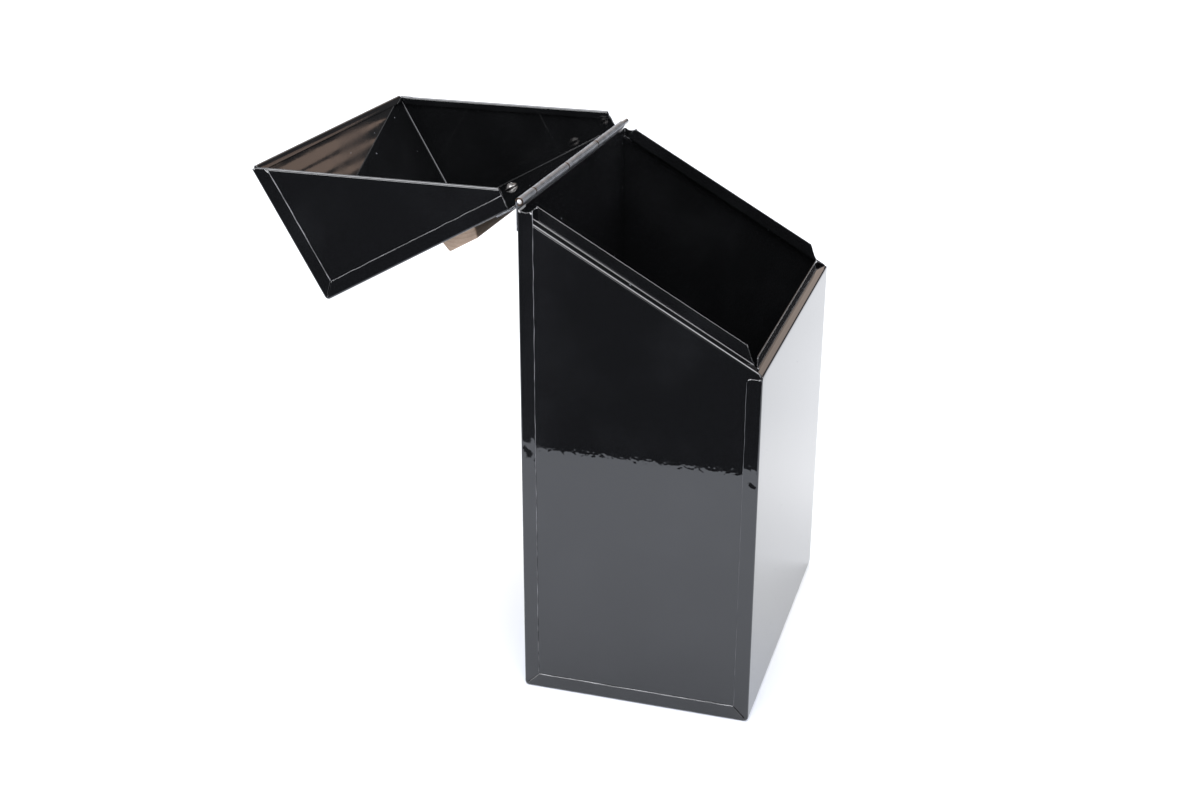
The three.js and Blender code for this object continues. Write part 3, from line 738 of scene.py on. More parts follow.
# ---- folded wraps: a bent strip whose side edges are folded round into flanges ----
def flange_rings(s):
    """Reaches in from the outer face at which a flange's rings lie."""
    shares = (0.13, 0.3, 0.47, 0.63, 0.77, 0.89, 1.0)
    return [s.fold + (s.flange - s.fold) * share for share in shares]


def held_from(value, limit, side=1):
    """Puts on the limit whatever would lie beyond it or too near it."""
    return limit if (value - limit) * side < CLEAR_OF_LIMIT else value


def mitre_line(s, reach):
    """How far from the corner a flange's mitre lies, at a reach in from the outer face."""
    return reach + s.mitre / math.sqrt(2) * min(1.0, (reach - s.fold) / MITRE_RUN)


def corners_of(run):
    """Where a run of (vertex, place, normal) is half way round a bend."""
    return [i for i, (_, _, n) in enumerate(run) if abs(abs(n[0]) - abs(n[1])) < 0.1]


def fold_flange(bm, s, side, run):
    """Folds one side edge of a wrap round; run is [(vertex, (y, z), (ny, nz))] along the edge."""
    rows = []
    for k in range(1, FOLD_STEPS + 1):
        angle = math.pi / 2 * k / FOLD_STEPS
        reach = s.fold * (1 - math.cos(angle))
        x = s.width / 2 - s.fold + s.fold * math.sin(angle)
        rows.append([(side * x, p[0] - n[0] * reach, p[1] - n[1] * reach) for _, p, n in run])
    return grow_from(bm, [vert for vert, _, _ in run], rows)


def flat_flange(bm, s, side, verts, normal, clip, seed):
    """Lays a flange flat from the end of its bend, its free edge wandering a little.

    The free edge is marked to be thicker, so that it closes on the panel behind it.

    clip(y, z, reach) keeps a ring's point off the neighbouring flange.
    """
    rows = []
    starts = [v.co.copy() for v in verts]
    for reach in flange_rings(s):
        share = (reach - s.fold) / (s.flange - s.fold)
        row = []
        for start in starts:
            y, z = clip(start.y, start.z, reach)
            stray = wander((start.y * 1.7, start.z * 1.3, 0), seed, 0.013)
            stray += 0.5 * wander((start.y, start.z, 0), seed + 5, 0.005)
            sink = min(1.0, max(0.0, 0.5 + 1.1 * wander((y, z, reach), seed + 9, 0.011)))
            shifted = abs((y - start.y) * normal[1]) + abs((z - start.z) * normal[0])
            drift = s.waviness * stray * share ** 1.5 if shifted < NEAR else 0.0
            x = s.width / 2 - s.waviness * sink * math.sin(math.pi / 2 * share)
            row.append((side * x, y - normal[0] * drift, z - normal[1] * drift))
        rows.append(row)
    for vert in grow_from(bm, verts, rows):
        vert[bm.verts.layers.deform.active][0] = 1.0


class KINDLING_OT_body_wrap(bpy.types.Operator):
    """Front, floor and back of the box, bent from one strip with mitred side flanges"""

    bl_idname = "kindling.body_wrap"
    bl_label = "Body Wrap"

    def execute(self, context):
        s = context.scene.kindling_box.sheet
        half_d = s.depth / 2
        edge = s.width / 2 - s.fold
        lip_y = -half_d + s.ledge
        lip_top = s.front_height + s.front_lip
        flange_top = s.front_height - s.flange_drop
        seam = lip_y - s.ledge_seam
        seam_z = s.front_height + s.ledge_rise * (seam + half_d) / s.ledge
        lip_half = s.width / 2 - s.lip_end
        outer = s.lip_bend + s.sheet
        path = bent_path(
            [
                (half_d, s.back_height),
                (half_d, 0),
                (-half_d, 0),
                (-half_d, flange_top),
                (-half_d, s.front_height),
                (seam, seam_z),
                (lip_y, s.front_height + s.ledge_rise),
                (lip_y, lip_top - s.lip_chamfer),
                (lip_y, lip_top),
            ],
            [s.corner, s.corner, 0, outer, 0, s.lip_bend, 0],
            ROW_PITCH,
        )
        rows = []
        for (y, z), _ in path:
            end = edge
            inner = lip_half
            if z > flange_top and y < 0:
                end = min(edge, s.width / 2 - s.sheet + FIT - (y + half_d + 2 * FIT))
            if z > lip_top - s.lip_chamfer / 2:
                inner = lip_half - s.lip_chamfer
            across = [-end, -inner, -inner / 2, 0, inner / 2, inner, end]
            rows.append([(x, y, z) for x in across])
        bm = bmesh.new()
        bm.verts.layers.deform.verify()
        lines = loft(bm, rows)
        for side, column in ((-1, 0), (1, -1)):
            run = [
                (line[column], p, n)
                for line, (p, n) in zip(lines, path)
                if p[1] < flange_top + NEAR or p[0] > 0
            ]
            bend = fold_flange(bm, s, side, run)
            self.lay_flanges(bm, s, side, bend, run)
        # past its ends the front lip and the last of its ledge are cut away
        centres = ((f, f.calc_center_median()) for f in bm.faces)
        past_ends = [
            f
            for f, c in centres
            if seam + 10 * NEAR < c.y < 0 and c.z > s.front_height and abs(c.x) > lip_half
        ]
        bmesh.ops.delete(bm, geom=past_ends, context="FACES")
        settle(bm, (0, 1, 0))
        enamel = body_enamel(context.scene.kindling_box)
        piece = add_piece("box_wrap", bm, enamel, "body_wrap", "box")
        thicken_wrap(piece, s)
        return {"FINISHED"}

    def lay_flanges(self, bm, s, side, bend, run):
        half_d = s.depth / 2

        def front(_, z, reach):
            top = s.front_height - s.flange_drop
            over = reach - (s.flange - s.flange_end)
            if over > 0:
                top -= s.flange_end - math.sqrt(max(0.0, s.flange_end**2 - over**2))
            return -half_d + reach, held_from(held_from(z, mitre_line(s, reach)), top, -1)

        def floor(y, _, reach):
            inset = half_d - mitre_line(s, reach)
            return held_from(held_from(y, -inset), inset, -1), reach

        def back(_, z, reach):
            dip = 0.0
            if z > s.back_height - 10 * NEAR:
                dip = s.notch * math.sin(math.pi * (reach - s.fold) / (s.flange - s.fold))
            return half_d - reach, held_from(z, mitre_line(s, reach)) - dip

        turns = corners_of(run)
        back_end, front_start = turns[0], turns[-1]
        parts = (
            (bend[: back_end + 1], (1, 0), back, 11),
            (bend[back_end : front_start + 1], (0, -1), floor, 12),
            (bend[front_start:], (-1, 0), front, 13),
        )
        for verts, normal, clip, seed in parts:
            flat_flange(bm, s, side, verts, normal, clip, seed + 20 * (side > 0))


class KINDLING_OT_body_sides(bpy.types.Operator):
    """The two side panels of the box, each with its sloping ledge and lip"""

    bl_idname = "kindling.body_sides"
    bl_label = "Body Sides"

    def execute(self, context):
        box = context.scene.kindling_box
        for side, name in ((-1, "left"), (1, "right")):
            self.side_panel(box, side, name)
        return {"FINISHED"}

    def side_panel(self, box, side, name):
        s = box.sheet
        half_d = s.depth / 2
        cos = math.cos(math.atan(mouth_slope(s)))
        outer_x = s.width / 2 - s.sheet
        lip_x = outer_x - s.ledge
        edge = half_d - s.sheet
        ledge_rear = half_d - s.ledge_end
        # the fold's outer face, as (distance in from the plate, height square to the slope)
        path = bent_path(
            [(0, -0.0030), (0, 0), (s.ledge, s.ledge_rise), (s.ledge, s.side_lip)],
            [s.lip_bend + s.sheet, s.lip_bend],
            0.0021,
        )
        # each end of the lip leans in above a height, by a share of what lies above that
        front_from, front_lean, rear_from, rear_lean = 0.003, 0.42, 0.0035, 0.66
        # the plate's lines are level below a height, then turn to the mouth's slope
        level_up_to, turning_over = 0.09, 0.13
        stations = [0.0, 0.008] + [i / 24 for i in range(1, 24)] + [0.992, 1.0]
        rows = []

        def add_row(inset, start, end, tail, height):
            """One line of points towards the rear; height gives how high it lies at y."""
            places = [start + (end - start) * share for share in stations] + [tail]
            rows.append([(side * (outer_x - inset), y, height(y)) for y in places])

        def bottom(y):
            return s.sheet + max(0.0, s.side_corner - (edge - abs(y)))

        def plate(level):
            tilt = mouth_slope(s) * max(0.0, (level - level_up_to) / turning_over)
            return lambda y: level + (y + edge) * tilt

        def along_slope(above):
            return lambda y: shoulder(s, y) + above

        add_row(0, -edge, ledge_rear, edge, bottom)
        for level in (0.012, 0.05, 0.09, 0.13, 0.17, 0.20):
            add_row(0, -edge, ledge_rear, edge, plate(level))
        plate_rows = len(rows)
        for (inset, v), _ in path:
            above = v / cos
            if inset < NEAR and above < 0:
                add_row(0, -edge, ledge_rear, edge, along_slope(above))
                plate_rows = len(rows)
                continue
            start = -edge + s.side_corner + inset - s.sheet
            end = ledge_rear
            if above > 2 * s.sheet and inset > s.ledge - 10 * NEAR:
                start = -half_d + s.lip_foot + max(0.0, above - front_from) * front_lean
            if above > rear_from:
                end -= (above - rear_from) * rear_lean
            add_row(inset, start, end, end, along_slope(above))
        bm = bmesh.new()
        lines = loft(bm, rows)
        # the fold ends at the ledge's rear end, short of the plate's
        fold_tails = {line[-1] for line in lines[plate_rows:]}
        behind_fold = [f for f in bm.faces if not fold_tails.isdisjoint(f.verts)]
        bmesh.ops.delete(bm, geom=behind_fold, context="FACES")
        settle(bm, (side, 0, 0))
        cad_node = f"body_side_{name}"
        piece = add_piece(f"box_side_{name}", bm, body_enamel(box), cad_node, "box")
        give_thickness(piece, s.sheet, s.edge_round)


class KINDLING_OT_lid_wrap(bpy.types.Operator):
    """Front and top of the lid, bent from one strip with mitred flanges and a folded hem"""

    bl_idname = "kindling.lid_wrap"
    bl_label = "Lid Wrap"

    def execute(self, context):
        box = context.scene.kindling_box
        s, h = box.sheet, box.hinge
        half_d = s.depth / 2
        edge = s.width / 2 - s.fold
        rim = s.front_height + s.rim_lift
        hem_half = s.width / 2 - s.sheet - s.hem_setback - 2 * FIT
        side_end = half_d - s.lid_end
        rear = pin_axis(s, h)[0] - h.cutback
        r = s.hem / 2
        path = bent_path(
            [
                (-half_d + s.hem, rim + s.hem_height),
                (-half_d + s.hem, rim),
                (-half_d, rim),
                (-half_d, s.lid_top),
                (side_end, s.lid_top),
                (side_end + 2 * FIT, s.lid_top),
                (rear, s.lid_top),
            ],
            [r, r, s.corner, 0, 0],
            ROW_PITCH,
        )
        rows = []
        hem_lines = 0
        for (y, z), _ in path:
            on_panel = abs(y + half_d) < NEAR and z > rim + r - NEAR or z > s.lid_top - 0.01
            end = edge if on_panel else hem_half
            if y > side_end + FIT:
                end = s.width / 2 - 2 * FIT
            hem_lines += not on_panel
            across = [-end, -hem_half, -hem_half / 2, 0, hem_half / 2, hem_half, end]
            rows.append([(x, y, z) for x in across])
        bm = bmesh.new()
        bm.verts.layers.deform.verify()
        lines = loft(bm, rows)
        for side, column in ((-1, 0), (1, -1)):
            run = [
                (line[column], p, n)
                for line, (p, n) in list(zip(lines, path))[hem_lines:]
                if p[0] < side_end + 10 * NEAR
            ]
            bend = fold_flange(bm, s, side, run)
            self.lay_flanges(bm, s, side, bend, run)
        hem_ends = [v for line in lines[:hem_lines] for v in line[:2] + line[-2:]]
        bmesh.ops.remove_doubles(bm, verts=hem_ends, dist=NEAR)
        settle(bm, (0, 0, 1))
        turn = lid_turn(s, h)
        piece = add_piece("lid_shell", bm, lid_enamel(box), "lid_wrap", "lid", turn)
        thicken_wrap(piece, s)
        return {"FINISHED"}

    def lay_flanges(self, bm, s, side, bend, run):
        half_d = s.depth / 2

        def front(_, z, reach):
            low = s.front_height + s.rim_lift + mouth_slope(s) * reach
            above = z if held_from(z - s.hem / 2, low) > low else low
            return -half_d + reach, held_from(above, s.lid_top - mitre_line(s, reach), -1)

        def top(y, _, reach):
            return held_from(y, -half_d + mitre_line(s, reach)), s.lid_top - reach

        turn = corners_of(run)[0]
        flat_flange(bm, s, side, bend[: turn + 1], (-1, 0), front, 31 + 20 * (side > 0))
        flat_flange(bm, s, side, bend[turn:], (0, 1), top, 32 + 20 * (side > 0))


class KINDLING_OT_lid_sides(bpy.types.Operator):
    """The two wedge-shaped sides of the lid, their sloping rims folded back inside"""

    bl_idname = "kindling.lid_sides"
    bl_label = "Lid Sides"

    def execute(self, context):
        box = context.scene.kindling_box
        for side, name in ((-1, "left"), (1, "right")):
            self.side_panel(box, side, name)
        return {"FINISHED"}

    def side_panel(self, box, side, name):
        s = box.sheet
        half_d = s.depth / 2
        cos = math.cos(math.atan(mouth_slope(s)))
        outer_x = s.width / 2 - s.sheet - FIT
        front = -half_d + s.sheet + FIT
        rear = half_d - s.lid_end
        top = s.lid_top - s.sheet - FIT
        rim = s.rim_lift * cos
        plate_foot = rim + ROW_PITCH
        r = s.hem / 2
        path = bent_path(
            [(s.hem, rim + s.hem_height), (s.hem, rim), (0, rim), (0, plate_foot)], [r, r], 0.002
        )
        stations = [0.0, 0.0131] + [i / 20 for i in range(1, 21)]
        rows = []
        for (inset, v), _ in path:
            start = front + (s.hem_setback if inset > s.sheet / 4 else 0.0)
            row = []
            for share in stations:
                y = start + (rear - start) * share
                row.append((side * (outer_x - inset), y, shoulder(s, y) + v / cos))
            rows.append(row)
        for level in (0.3, 0.6, 1.0):
            row = []
            for share in stations:
                y = front + (rear - front) * share
                low = shoulder(s, y) + plate_foot / cos
                high = top - max(0.0, s.lid_corner - (y - front))
                row.append((side * outer_x, y, low + (high - low) * level))
            rows.append(row)
        bm = bmesh.new()
        loft(bm, rows)
        settle(bm, (side, 0, 0))
        turn = lid_turn(s, box.hinge)
        enamel, cad_node = lid_enamel(box), f"lid_side_{name}"
        piece = add_piece(f"lid_cheek_{name}", bm, enamel, cad_node, "lid", turn)
        give_thickness(piece, s.sheet, s.edge_round)
        panel = -half_d + s.sheet
        under = s.lid_top - s.sheet
        low = s.front_height + s.rim_lift + s.hem_height
        pitch = 0.02
        rises = steps(low, s.lid_top - s.corner, pitch)
        runs = steps(-half_d + s.corner, rear, pitch)
        up = [lambda depth, z=z: (panel + depth, z) for z in rises]
        back = [lambda depth, y=y: (y, under - depth) for y in runs]
        self.seam_bead(piece, s, side, outer_x - s.sheet, s.bead, up, turn)
        self.seam_bead(piece, s, side, outer_x - s.sheet, s.bead * 0.35, back, turn)

    def seam_bead(self, piece, s, side, inner_x, radius, path, turn):
        """Enamel pooled in the corner between the side and another panel.

        path holds, for each place along it, a function from a distance off that panel to (y, z).
        """
        seat = 0.00004  # how far the bead bites into both panels
        bend_in = inner_x + seat
        arc = [math.pi / 2 * i / 8 for i in range(9)]
        curve = [(radius * (1 - math.sin(a)), radius * (1 - math.cos(a))) for a in arc]
        outline = [(bend_in - inward, depth - seat) for inward, depth in curve]
        outline += [(inner_x + s.sheet / 2, radius), (inner_x + s.sheet / 2, -s.sheet / 2)]
        outline += [(inner_x - radius, -s.sheet / 2), outline[0]]
        bm = bmesh.new()
        loft(bm, [[(side * x, *spot(depth)) for x, depth in outline] for spot in path])
        bmesh.ops.remove_doubles(bm, verts=bm.verts, dist=1e-7)
        bmesh.ops.holes_fill(bm, edges=bm.edges, sides=0)
        bmesh.ops.recalc_face_normals(bm, faces=bm.faces)
        bmesh.ops.transform(bm, matrix=turn, verts=bm.verts)
        for face in bm.faces:
            face.smooth = len(face.verts) == 4
        bm.from_mesh(piece.data)
        bm.to_mesh(piece.data)
        bm.free()


class KINDLING_OT_hinge_leaves(bpy.types.Operator):
    """The two leaves of the strip hinge, their knuckles rolled from the sheet"""

    bl_idname = "kindling.hinge_leaves"
    bl_label = "Hinge Leaves"

    def execute(self, context):
        box = context.scene.kindling_box
        s, h = box.sheet, box.hinge
        axis_y, axis_z = pin_axis(s, h)
        down_back = lambda along, out: (axis_y + out, axis_z - along)
        along_top = lambda along, out: (axis_y - along, axis_z + out)
        self.leaf(box, "box", "body", (0, 2), axis_z - s.back_height, down_back, (0, 1, 0), None)
        self.leaf(box, "lid", "lid", (1, 3), h.cutback, along_top, (0, 0, 1), lid_turn(s, h))
        return {"FINISHED"}

    def knuckle_ends(self, s, h):
        pitch = (s.width - h.first_knuckle - h.bare_pin) / (KNUCKLES - 1)
        left = -s.width / 2
        return [left] + [left + h.first_knuckle + pitch * i for i in range(KNUCKLES)]

    def plating(self, box, ends):
        """Zinc plate, dull brown at the cut ends of the knuckles; the same dark bands paint the
        shade in the gaps between the knuckles.
        """
        h = box.hinge
        # painted shade: each band runs a little past the gap onto the barrel, darkening the split
        # as shade would
        cuts = [(ends[0], FIT)] + [(x, h.gap / 2 + 3 * FIT) for x in ends[1:]]
        axis = (0, *pin_axis(box.sheet, h))
        finish = box.finish
        looks = (finish.plating, 900.0, 0.05 * MM, (0.38, 0.52), cuts, finish.cut_steel_and_gap_shade, axis)
        return shared_material("Hinge Plating", plated_material, *looks)

    def leaf(self, box, body, name, knuckles, cutback, place, outward, matrix):
        """One leaf; place gives (y, z) from a distance along it and one out from its panel."""
        s, h = box.sheet, box.hinge
        ends = self.knuckle_ends(s, h)
        leaf_half = s.width / 2 - h.leaf_inset
        spans = []
        for index in range(KNUCKLES):
            low = ends[index] + (h.gap / 2 if index else 0)
            spans.append((low, ends[index + 1] - h.gap / 2, index in knuckles))
        across = [-leaf_half]
        for low, high, _ in spans:
            across += [x for x in (low, high) if abs(x) < leaf_half]
        across.append(leaf_half)
        bm = bmesh.new()
        deform = bm.verts.layers.deform.verify()
        rows = [
            [(x, *place(along, h.knuckle)) for x in across]
            for along in (h.leaf, h.leaf * 0.62, cutback)
        ]
        lines = loft(bm, rows)
        for line in lines:
            for vert in line:
                vert[deform][0] = 1.0
        roll = math.radians(306)
        count = 30
        for low, high, mine in spans:
            if not mine:
                continue
            line = [v for v in lines[-1] if low - NEAR < v.co.x < high + NEAR]
            tips = [max(v.co.x, low) for v in line]
            if low < -leaf_half:
                tips[0] = low
            curl = [[(v.co.x, *place(cutback * 0.4, h.knuckle)) for v in line]]
            for k in range(count + 1):
                angle = roll * k / count
                spot = place(-h.knuckle * math.sin(angle), h.knuckle * math.cos(angle))
                curl.append([(x, *spot) for x in tips])
            grow_from(bm, line, curl)
        settle(bm, outward)
        zinc, cad_node = self.plating(box, ends), f"hinge_{name}_leaf"
        piece = add_piece(f"hinge_leaf_{name}", bm, zinc, cad_node, body, matrix)
        piece.vertex_groups.new(name="Leaf")
        thin = (h.knuckle - h.bore) / h.leaf_sheet
        give_thickness(piece, h.leaf_sheet, h.leaf_round, "Leaf", thin)


class KINDLING_OT_hinge_pin(bpy.types.Operator):
    """The hinge's drawn steel pin, its ends broken by a small chamfer"""

    bl_idname = "kindling.hinge_pin"
    bl_label = "Hinge Pin"

    def execute(self, context):
        box = context.scene.kindling_box
        s, h = box.sheet, box.hinge
        axis_y, axis_z = pin_axis(s, h)
        start, end = PIN_LOW[0], PIN_HIGH[0]
        # how far in from each end, in mm, the pin has what share of its radius
        rounded = ((0, 0), (0.05, 0.3), (0.17, 0.55), (0.34, 0.78), (0.54, 0.93), (0.80, 1))
        broken = ((0.38, 1), (0.12, 1 - 0.28 * MM / h.pin), (0.04, 0.45), (0, 0))
        profile = [(start + inset * MM, h.pin * share) for inset, share in rounded]
        profile += [(x, h.pin) for x in steps(start + 0.004, end - 0.004, 0.03)]
        profile += [(end - inset * MM, h.pin * share) for inset, share in broken]
        bm = bmesh.new()
        verts = [bm.verts.new((x, axis_y, axis_z + radius)) for x, radius in profile]
        edges = [bm.edges.new(pair) for pair in zip(verts, verts[1:])]
        bmesh.ops.spin(
            bm,
            geom=verts + edges,
            cent=(0, axis_y, axis_z),
            axis=(1, 0, 0),
            angle=2 * math.pi,
            steps=48,
            use_merge=True,
        )
        bmesh.ops.remove_doubles(bm, verts=bm.verts, dist=1e-6)
        bmesh.ops.recalc_face_normals(bm, faces=bm.faces)
        finish, axis = box.finish, (0, axis_y, axis_z)
        cut = [(start, 5 * FIT)]
        looks = (finish.pin, 1500.0, 0.03 * MM, (0.24, 0.38), cut, finish.pin_end, axis)
        steel = shared_material("Pin Steel", plated_material, *looks)
        piece = add_piece("pin_rod", bm, steel, "hinge_pin", "box")
        flat_panels(piece, 60, keep_sharp=False)
        return {"FINISHED"}


class KINDLING_OT_handle_bar(bpy.types.Operator):
    """The wooden bar on the lid, narrower at its outer face, its edges sanded round"""

    bl_idname = "kindling.handle_bar"
    bl_label = "Handle Bar"

    def execute(self, context):
        box = context.scene.kindling_box
        s, h, g = box.sheet, box.hinge, box.handle
        base = s.lid_top + SEAT
        bm = bmesh.new()
        for vert in bmesh.ops.create_cube(bm, size=1.0)["verts"]:
            x, y, z = vert.co
            width = g.top if z > 0 else g.base
            vert.co = Vector((x * g.bar, g.centre + y * width, base + (z + 0.5) * g.thickness))
        upper = [e for e in bm.edges if max(v.co.z for v in e.verts) > base + g.thickness / 2]
        bmesh.ops.bevel(
            bm,
            geom=upper,
            offset=g.ease,
            offset_type="OFFSET",
            segments=4,
            profile=0.5,
            affect="EDGES",
            material=-1,
            clamp_overlap=True,
        )
        bmesh.ops.triangulate(bm, faces=[f for f in bm.faces if len(f.verts) > 4])
        bmesh.ops.recalc_face_normals(bm, faces=bm.faces)
        # the growth rings run about a point well outside the bar
        turn = lid_turn(s, h)
        centre = turn @ Vector((0, g.centre + 0.011, s.lid_top - 0.024))
        wood = shared_material("Handle Wood", wood_material, box.finish, centre)
        piece = add_piece("handle_grip", bm, wood, "handle_bar", "lid", turn)
        flat_panels(piece, 60, keep_sharp=False)
        return {"FINISHED"}


class KINDLING_OT_handle_screws(bpy.types.Operator):
    """The two domed screws that hold the handle from inside the lid"""

    bl_idname = "kindling.handle_screws"
    bl_label = "Handle Screws"

    def execute(self, context):
        box = context.scene.kindling_box
        for side, name in ((-1, "left"), (1, "right")):
            self.screw(box, side, name)
        return {"FINISHED"}

    def screw(self, box, side, name):
        s, h, g = box.sheet, box.hinge, box.handle
        dome = g.head_height - g.head_rim
        bm = bmesh.new()
        # a square grid pressed round, then domed, with the cross sunk into it
        for vert in bmesh.ops.create_grid(bm, x_segments=40, y_segments=40, size=1.0)["verts"]:
            u, v, _ = vert.co
            x = u * math.sqrt(1 - v * v / 2)
            y = v * math.sqrt(1 - u * u / 2)
            rise = dome * math.cos(math.pi / 2 * min(1.0, math.hypot(x, y)))
            across, along = sorted((abs(x) * g.head, abs(y) * g.head))
            if across < g.arm_half and along < g.arm:
                rise -= g.recess * min(1.0, (g.arm + 4 * FIT - along) / MM)
            vert.co = Vector((x * g.head, y * g.head, -g.head_rim - rise))
        ring = [e for e in bm.edges if e.is_boundary]
        profile = ((g.head, 0.0), (g.shank, 0.0), (g.shank, g.shank_end), (4 * FIT, g.tip))
        for radius, height in profile:
            grown = bmesh.ops.extrude_edge_only(bm, edges=ring)["geom"]
            fresh = {v for v in grown if isinstance(v, bmesh.types.BMVert)}
            for vert in fresh:
                flat = vert.co.to_2d().normalized() * radius
                vert.co = (*flat, height)
            edges = (e for e in grown if isinstance(e, bmesh.types.BMEdge))
            ring = [e for e in edges if fresh.issuperset(e.verts)]
        bmesh.ops.holes_fill(bm, edges=ring, sides=0)
        bmesh.ops.remove_doubles(bm, verts=bm.verts, dist=NEAR / 10)
        bmesh.ops.recalc_face_normals(bm, faces=bm.faces)
        looks = (box.finish.screw, 500.0, 0.02 * MM, (0.20, 0.32))
        plating = shared_material("Screw Plating", plated_material, *looks)
        seat = Matrix.Translation((side * g.spacing / 2, g.centre, s.lid_top - s.sheet - SEAT))
        turn, cad_node = lid_turn(s, h) @ seat, f"handle_screw_{name}"
        add_piece(f"screw_{name}", bm, plating, cad_node, "lid", turn)


class KINDLING_OT_stage(bpy.types.Operator):
    """Pale floor, soft studio light and the camera"""

    bl_idname = "kindling.stage"
    bl_label = "Stage"

    def execute(self, context):
        colours = context.scene.kindling_box.finish
        floor = shared_material("Studio Floor", floor_material, colours)
        self.flat_sheet(context, "studio_floor", (30, 30), (0, 0, -0.0002), floor)
        self.dark_card(context, colours)
        self.world(context)
        self.overhead_light(context)
        self.camera(context)
        context.scene.view_settings.view_transform = "Standard"
        return {"FINISHED"}

    def flat_sheet(self, context, name, size, centre, material):
        bm = bmesh.new()
        bmesh.ops.create_grid(bm, x_segments=2, y_segments=2, size=0.5)
        bmesh.ops.scale(bm, vec=(*size, 1), verts=bm.verts)
        bmesh.ops.translate(bm, vec=centre, verts=bm.verts)
        mesh = bpy.data.meshes.new(name)
        bm.to_mesh(mesh)
        bm.free()
        mesh.materials.append(material)
        sheet = bpy.data.objects.new(name, mesh)
        context.scene.collection.objects.link(sheet)
        return sheet

    def dark_card(self, context, colours):
        """A dark card that shows only in the enamel: a painted dark reflection off the near side,
        which neither the camera nor the light sees.
        """
        material = shared_material("Dark Card", card_material, colours)
        card = self.flat_sheet(context, "dark_card", (8, 5.2), (-4.442, 1.4, 0.0005), material)
        card.visible_camera = False
        card.visible_diffuse = False
        card.visible_shadow = False

    def world(self, context):
        """White to the camera and soft to the floor; the gloss sees a dim room with soft boxes."""
        world = bpy.data.worlds.new("Studio")
        world.use_nodes = True
        tree = world.node_tree
        x, y, z = split_of(tree, add_node(tree, "ShaderNodeTexCoord").outputs["Generated"])

        def both(a, b):
            return maths(tree, "MULTIPLY", a, b)

        dim, lit = (0.10, 0.097, 0.10, 1), (1.15, 0.84, 0.68, 1)
        low = mix(tree, self.slanting_bands(tree, y, z), dim, lit)
        tilted = maths(tree, "ADD", z, both(y, 0.1))
        warm = both(ramp(tree, tilted, 0.26, 0.30), ramp(tree, y, -0.26, -0.14))
        room = mix(tree, warm, low, (1.25, 1.03, 0.90, 1))
        room = mix(tree, ramp(tree, x, -0.3, 0.5), (0.035, 0.037, 0.042, 1), room)
        # two lit walls, dimmed higher up so that a level lid stays dark
        high = ramp(tree, z, 0.12, 0.20)
        behind = maths(tree, "SUBTRACT", y, both(x, 0.5))
        lit_walls = (
            (ramp(tree, y, 0.12, 0.32), (3.1, 3.17, 3.3, 1)),
            (ramp(tree, behind, 0.45, 0.70), (14.0, 14.2, 14.6, 1)),
        )
        for share, light in lit_walls:
            room = mix(tree, share, room, mix(tree, high, light, (0.9, 0.92, 0.96, 1)))
        ahead = both(ramp(tree, y, -0.55, -0.68), ramp(tree, z, 0.2, 0.28))
        room = mix(tree, ahead, room, (4.0, 4.1, 4.3, 1))
        above = both(ramp(tree, z, 0.68, 0.76), ramp(tree, x, 0.25, 0.05))
        room = mix(tree, above, room, (9.0, 9.1, 9.4, 1))
        rays = add_node(tree, "ShaderNodeLightPath").outputs
        soft = mix(tree, rays["Is Glossy Ray"], (1.66, 1.68, 1.74, 1), room)
        seen = mix(tree, rays["Is Camera Ray"], soft, (1.6, 1.6, 1.62, 1))
        tree.links.new(seen, tree.nodes["Background"].inputs["Color"])
        context.scene.world = world

    def slanting_bands(self, tree, y, z):
        """Mask of a few slanting bands low on the right of the room."""
        slope, pitch, lowest, highest, top_band = 0.58, 0.0098, -0.0178, 0.0192, 0.0122
        slant = maths(tree, "ADD", z, maths(tree, "MULTIPLY", y, slope))
        turns = maths(tree, "DIVIDE", maths(tree, "ADD", slant, 0.9734), pitch)
        wave = maths(tree, "PINGPONG", turns, 0.5)
        # each band narrows to a point; the topmost one is the shortest
        tip = maths(tree, "ADD", maths(tree, "MULTIPLY", slant, 0.9), -0.4006)
        topmost = maths(tree, "GREATER_THAN", slant, top_band)
        tip = maths(tree, "SUBTRACT", tip, maths(tree, "MULTIPLY", topmost, 0.039))
        reach = maths(tree, "DIVIDE", maths(tree, "SUBTRACT", tip, y), 0.034, True)
        half = maths(tree, "MULTIPLY", maths(tree, "POWER", reach, 0.6), 0.40)
        above = maths(tree, "GREATER_THAN", slant, lowest)
        inside = maths(tree, "MULTIPLY", above, maths(tree, "LESS_THAN", slant, highest))
        return maths(tree, "MULTIPLY", maths(tree, "LESS_THAN", wave, half), inside)

    def overhead_light(self, context):
        data = bpy.data.lights.new("Overhead", "AREA")
        data.shape = "DISK"
        data.size = 1.3
        data.energy = 16.0
        light = bpy.data.objects.new("Overhead", data)
        light.location = (-0.8, -0.15, 1.6)
        light.visible_glossy = False
        context.scene.collection.objects.link(light)

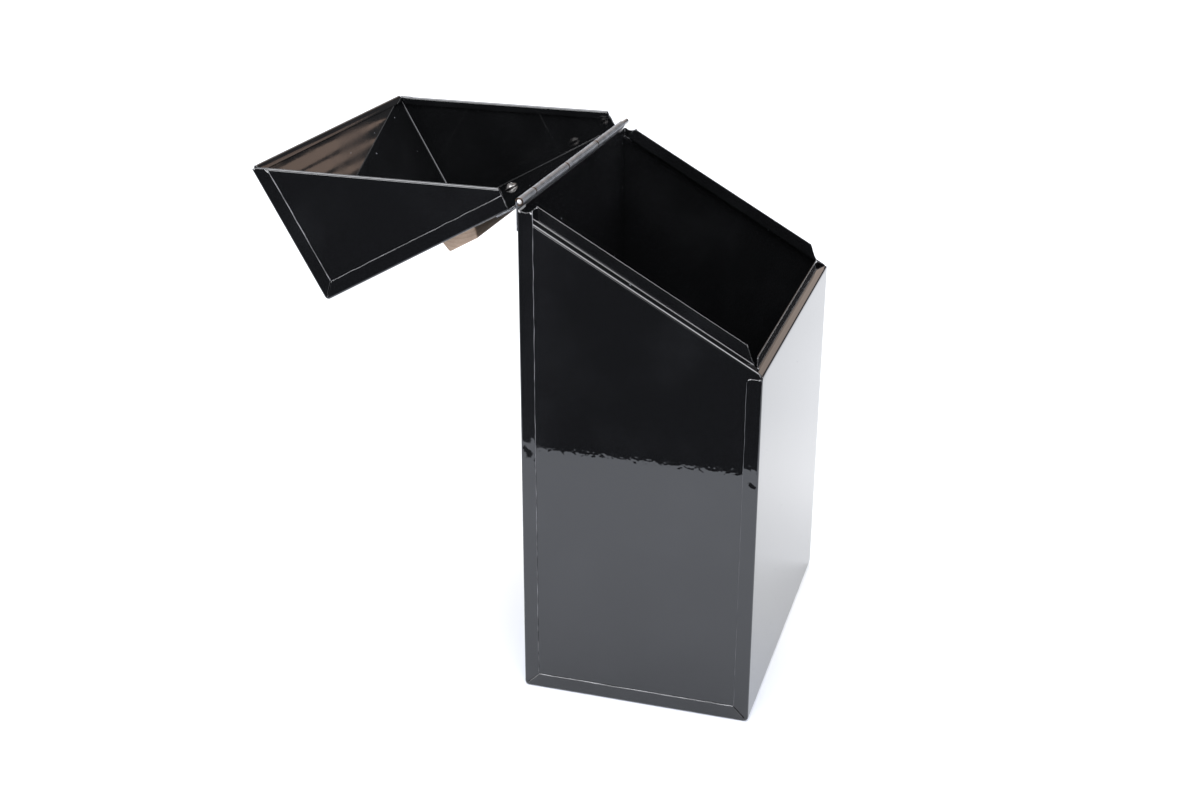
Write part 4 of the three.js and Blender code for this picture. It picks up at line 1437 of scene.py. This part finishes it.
    def camera(self, context):
        data = bpy.data.cameras.new("Camera")
        data.sensor_width = 36.0
        data.lens = 48.196
        camera = bpy.data.objects.new("Camera", data)
        azimuth, down, roll = (math.radians(a) for a in (-73.082, 22.385, 0.168))
        ahead = Vector((-math.sin(azimuth), math.cos(azimuth), 0)) * math.cos(down)
        look = ahead - Vector((0, 0, math.sin(down)))
        right = Vector((math.cos(azimuth), math.sin(azimuth), 0))
        up = right.cross(look)
        turned = right * math.cos(roll) + up * math.sin(roll)
        upright = up * math.cos(roll) - right * math.sin(roll)
        facing = Matrix((turned, upright, -look)).transposed()
        camera.matrix_world = Matrix.LocRotScale(Vector((-0.9050, -0.2212, 0.5399)), facing, None)
        context.scene.collection.objects.link(camera)
        context.scene.camera = camera


class KINDLING_PT_panel(bpy.types.Panel):
    """Lists the box's sizes, finishes and pieces"""

    bl_idname = "KINDLING_PT_panel"
    bl_label = "Kindling Box"
    bl_space_type = "VIEW_3D"
    bl_region_type = "UI"
    bl_category = "Kindling Box"

    def draw(self, context):
        box = context.scene.kindling_box
        for label in box.__annotations__:
            group = getattr(box, label)
            section = self.layout.box()
            section.label(text=label.title())
            for name in group.__annotations__:
                section.prop(group, name)
        for operator in OPERATORS:
            self.layout.operator(operator.bl_idname)


OPERATORS = (
    KINDLING_OT_body_wrap,
    KINDLING_OT_body_sides,
    KINDLING_OT_lid_wrap,
    KINDLING_OT_lid_sides,
    KINDLING_OT_hinge_leaves,
    KINDLING_OT_hinge_pin,
    KINDLING_OT_handle_bar,
    KINDLING_OT_handle_screws,
    KINDLING_OT_stage,
)
GROUPS = (SheetSizes, HingeSizes, HandleSizes, Finishes, KindlingBox)
CLASSES = GROUPS + OPERATORS + (KINDLING_PT_panel,)


def register():
    for cls in CLASSES:
        bpy.utils.register_class(cls)
    bpy.types.Scene.kindling_box = PointerProperty(type=KindlingBox)


def unregister():
    del bpy.types.Scene.kindling_box
    for cls in reversed(CLASSES):
        bpy.utils.unregister_class(cls)


def main():
    register()
    for operator in OPERATORS:
        space, name = operator.bl_idname.split(".")
        getattr(getattr(bpy.ops, space), name)()


if __name__ == "__main__":
    main()
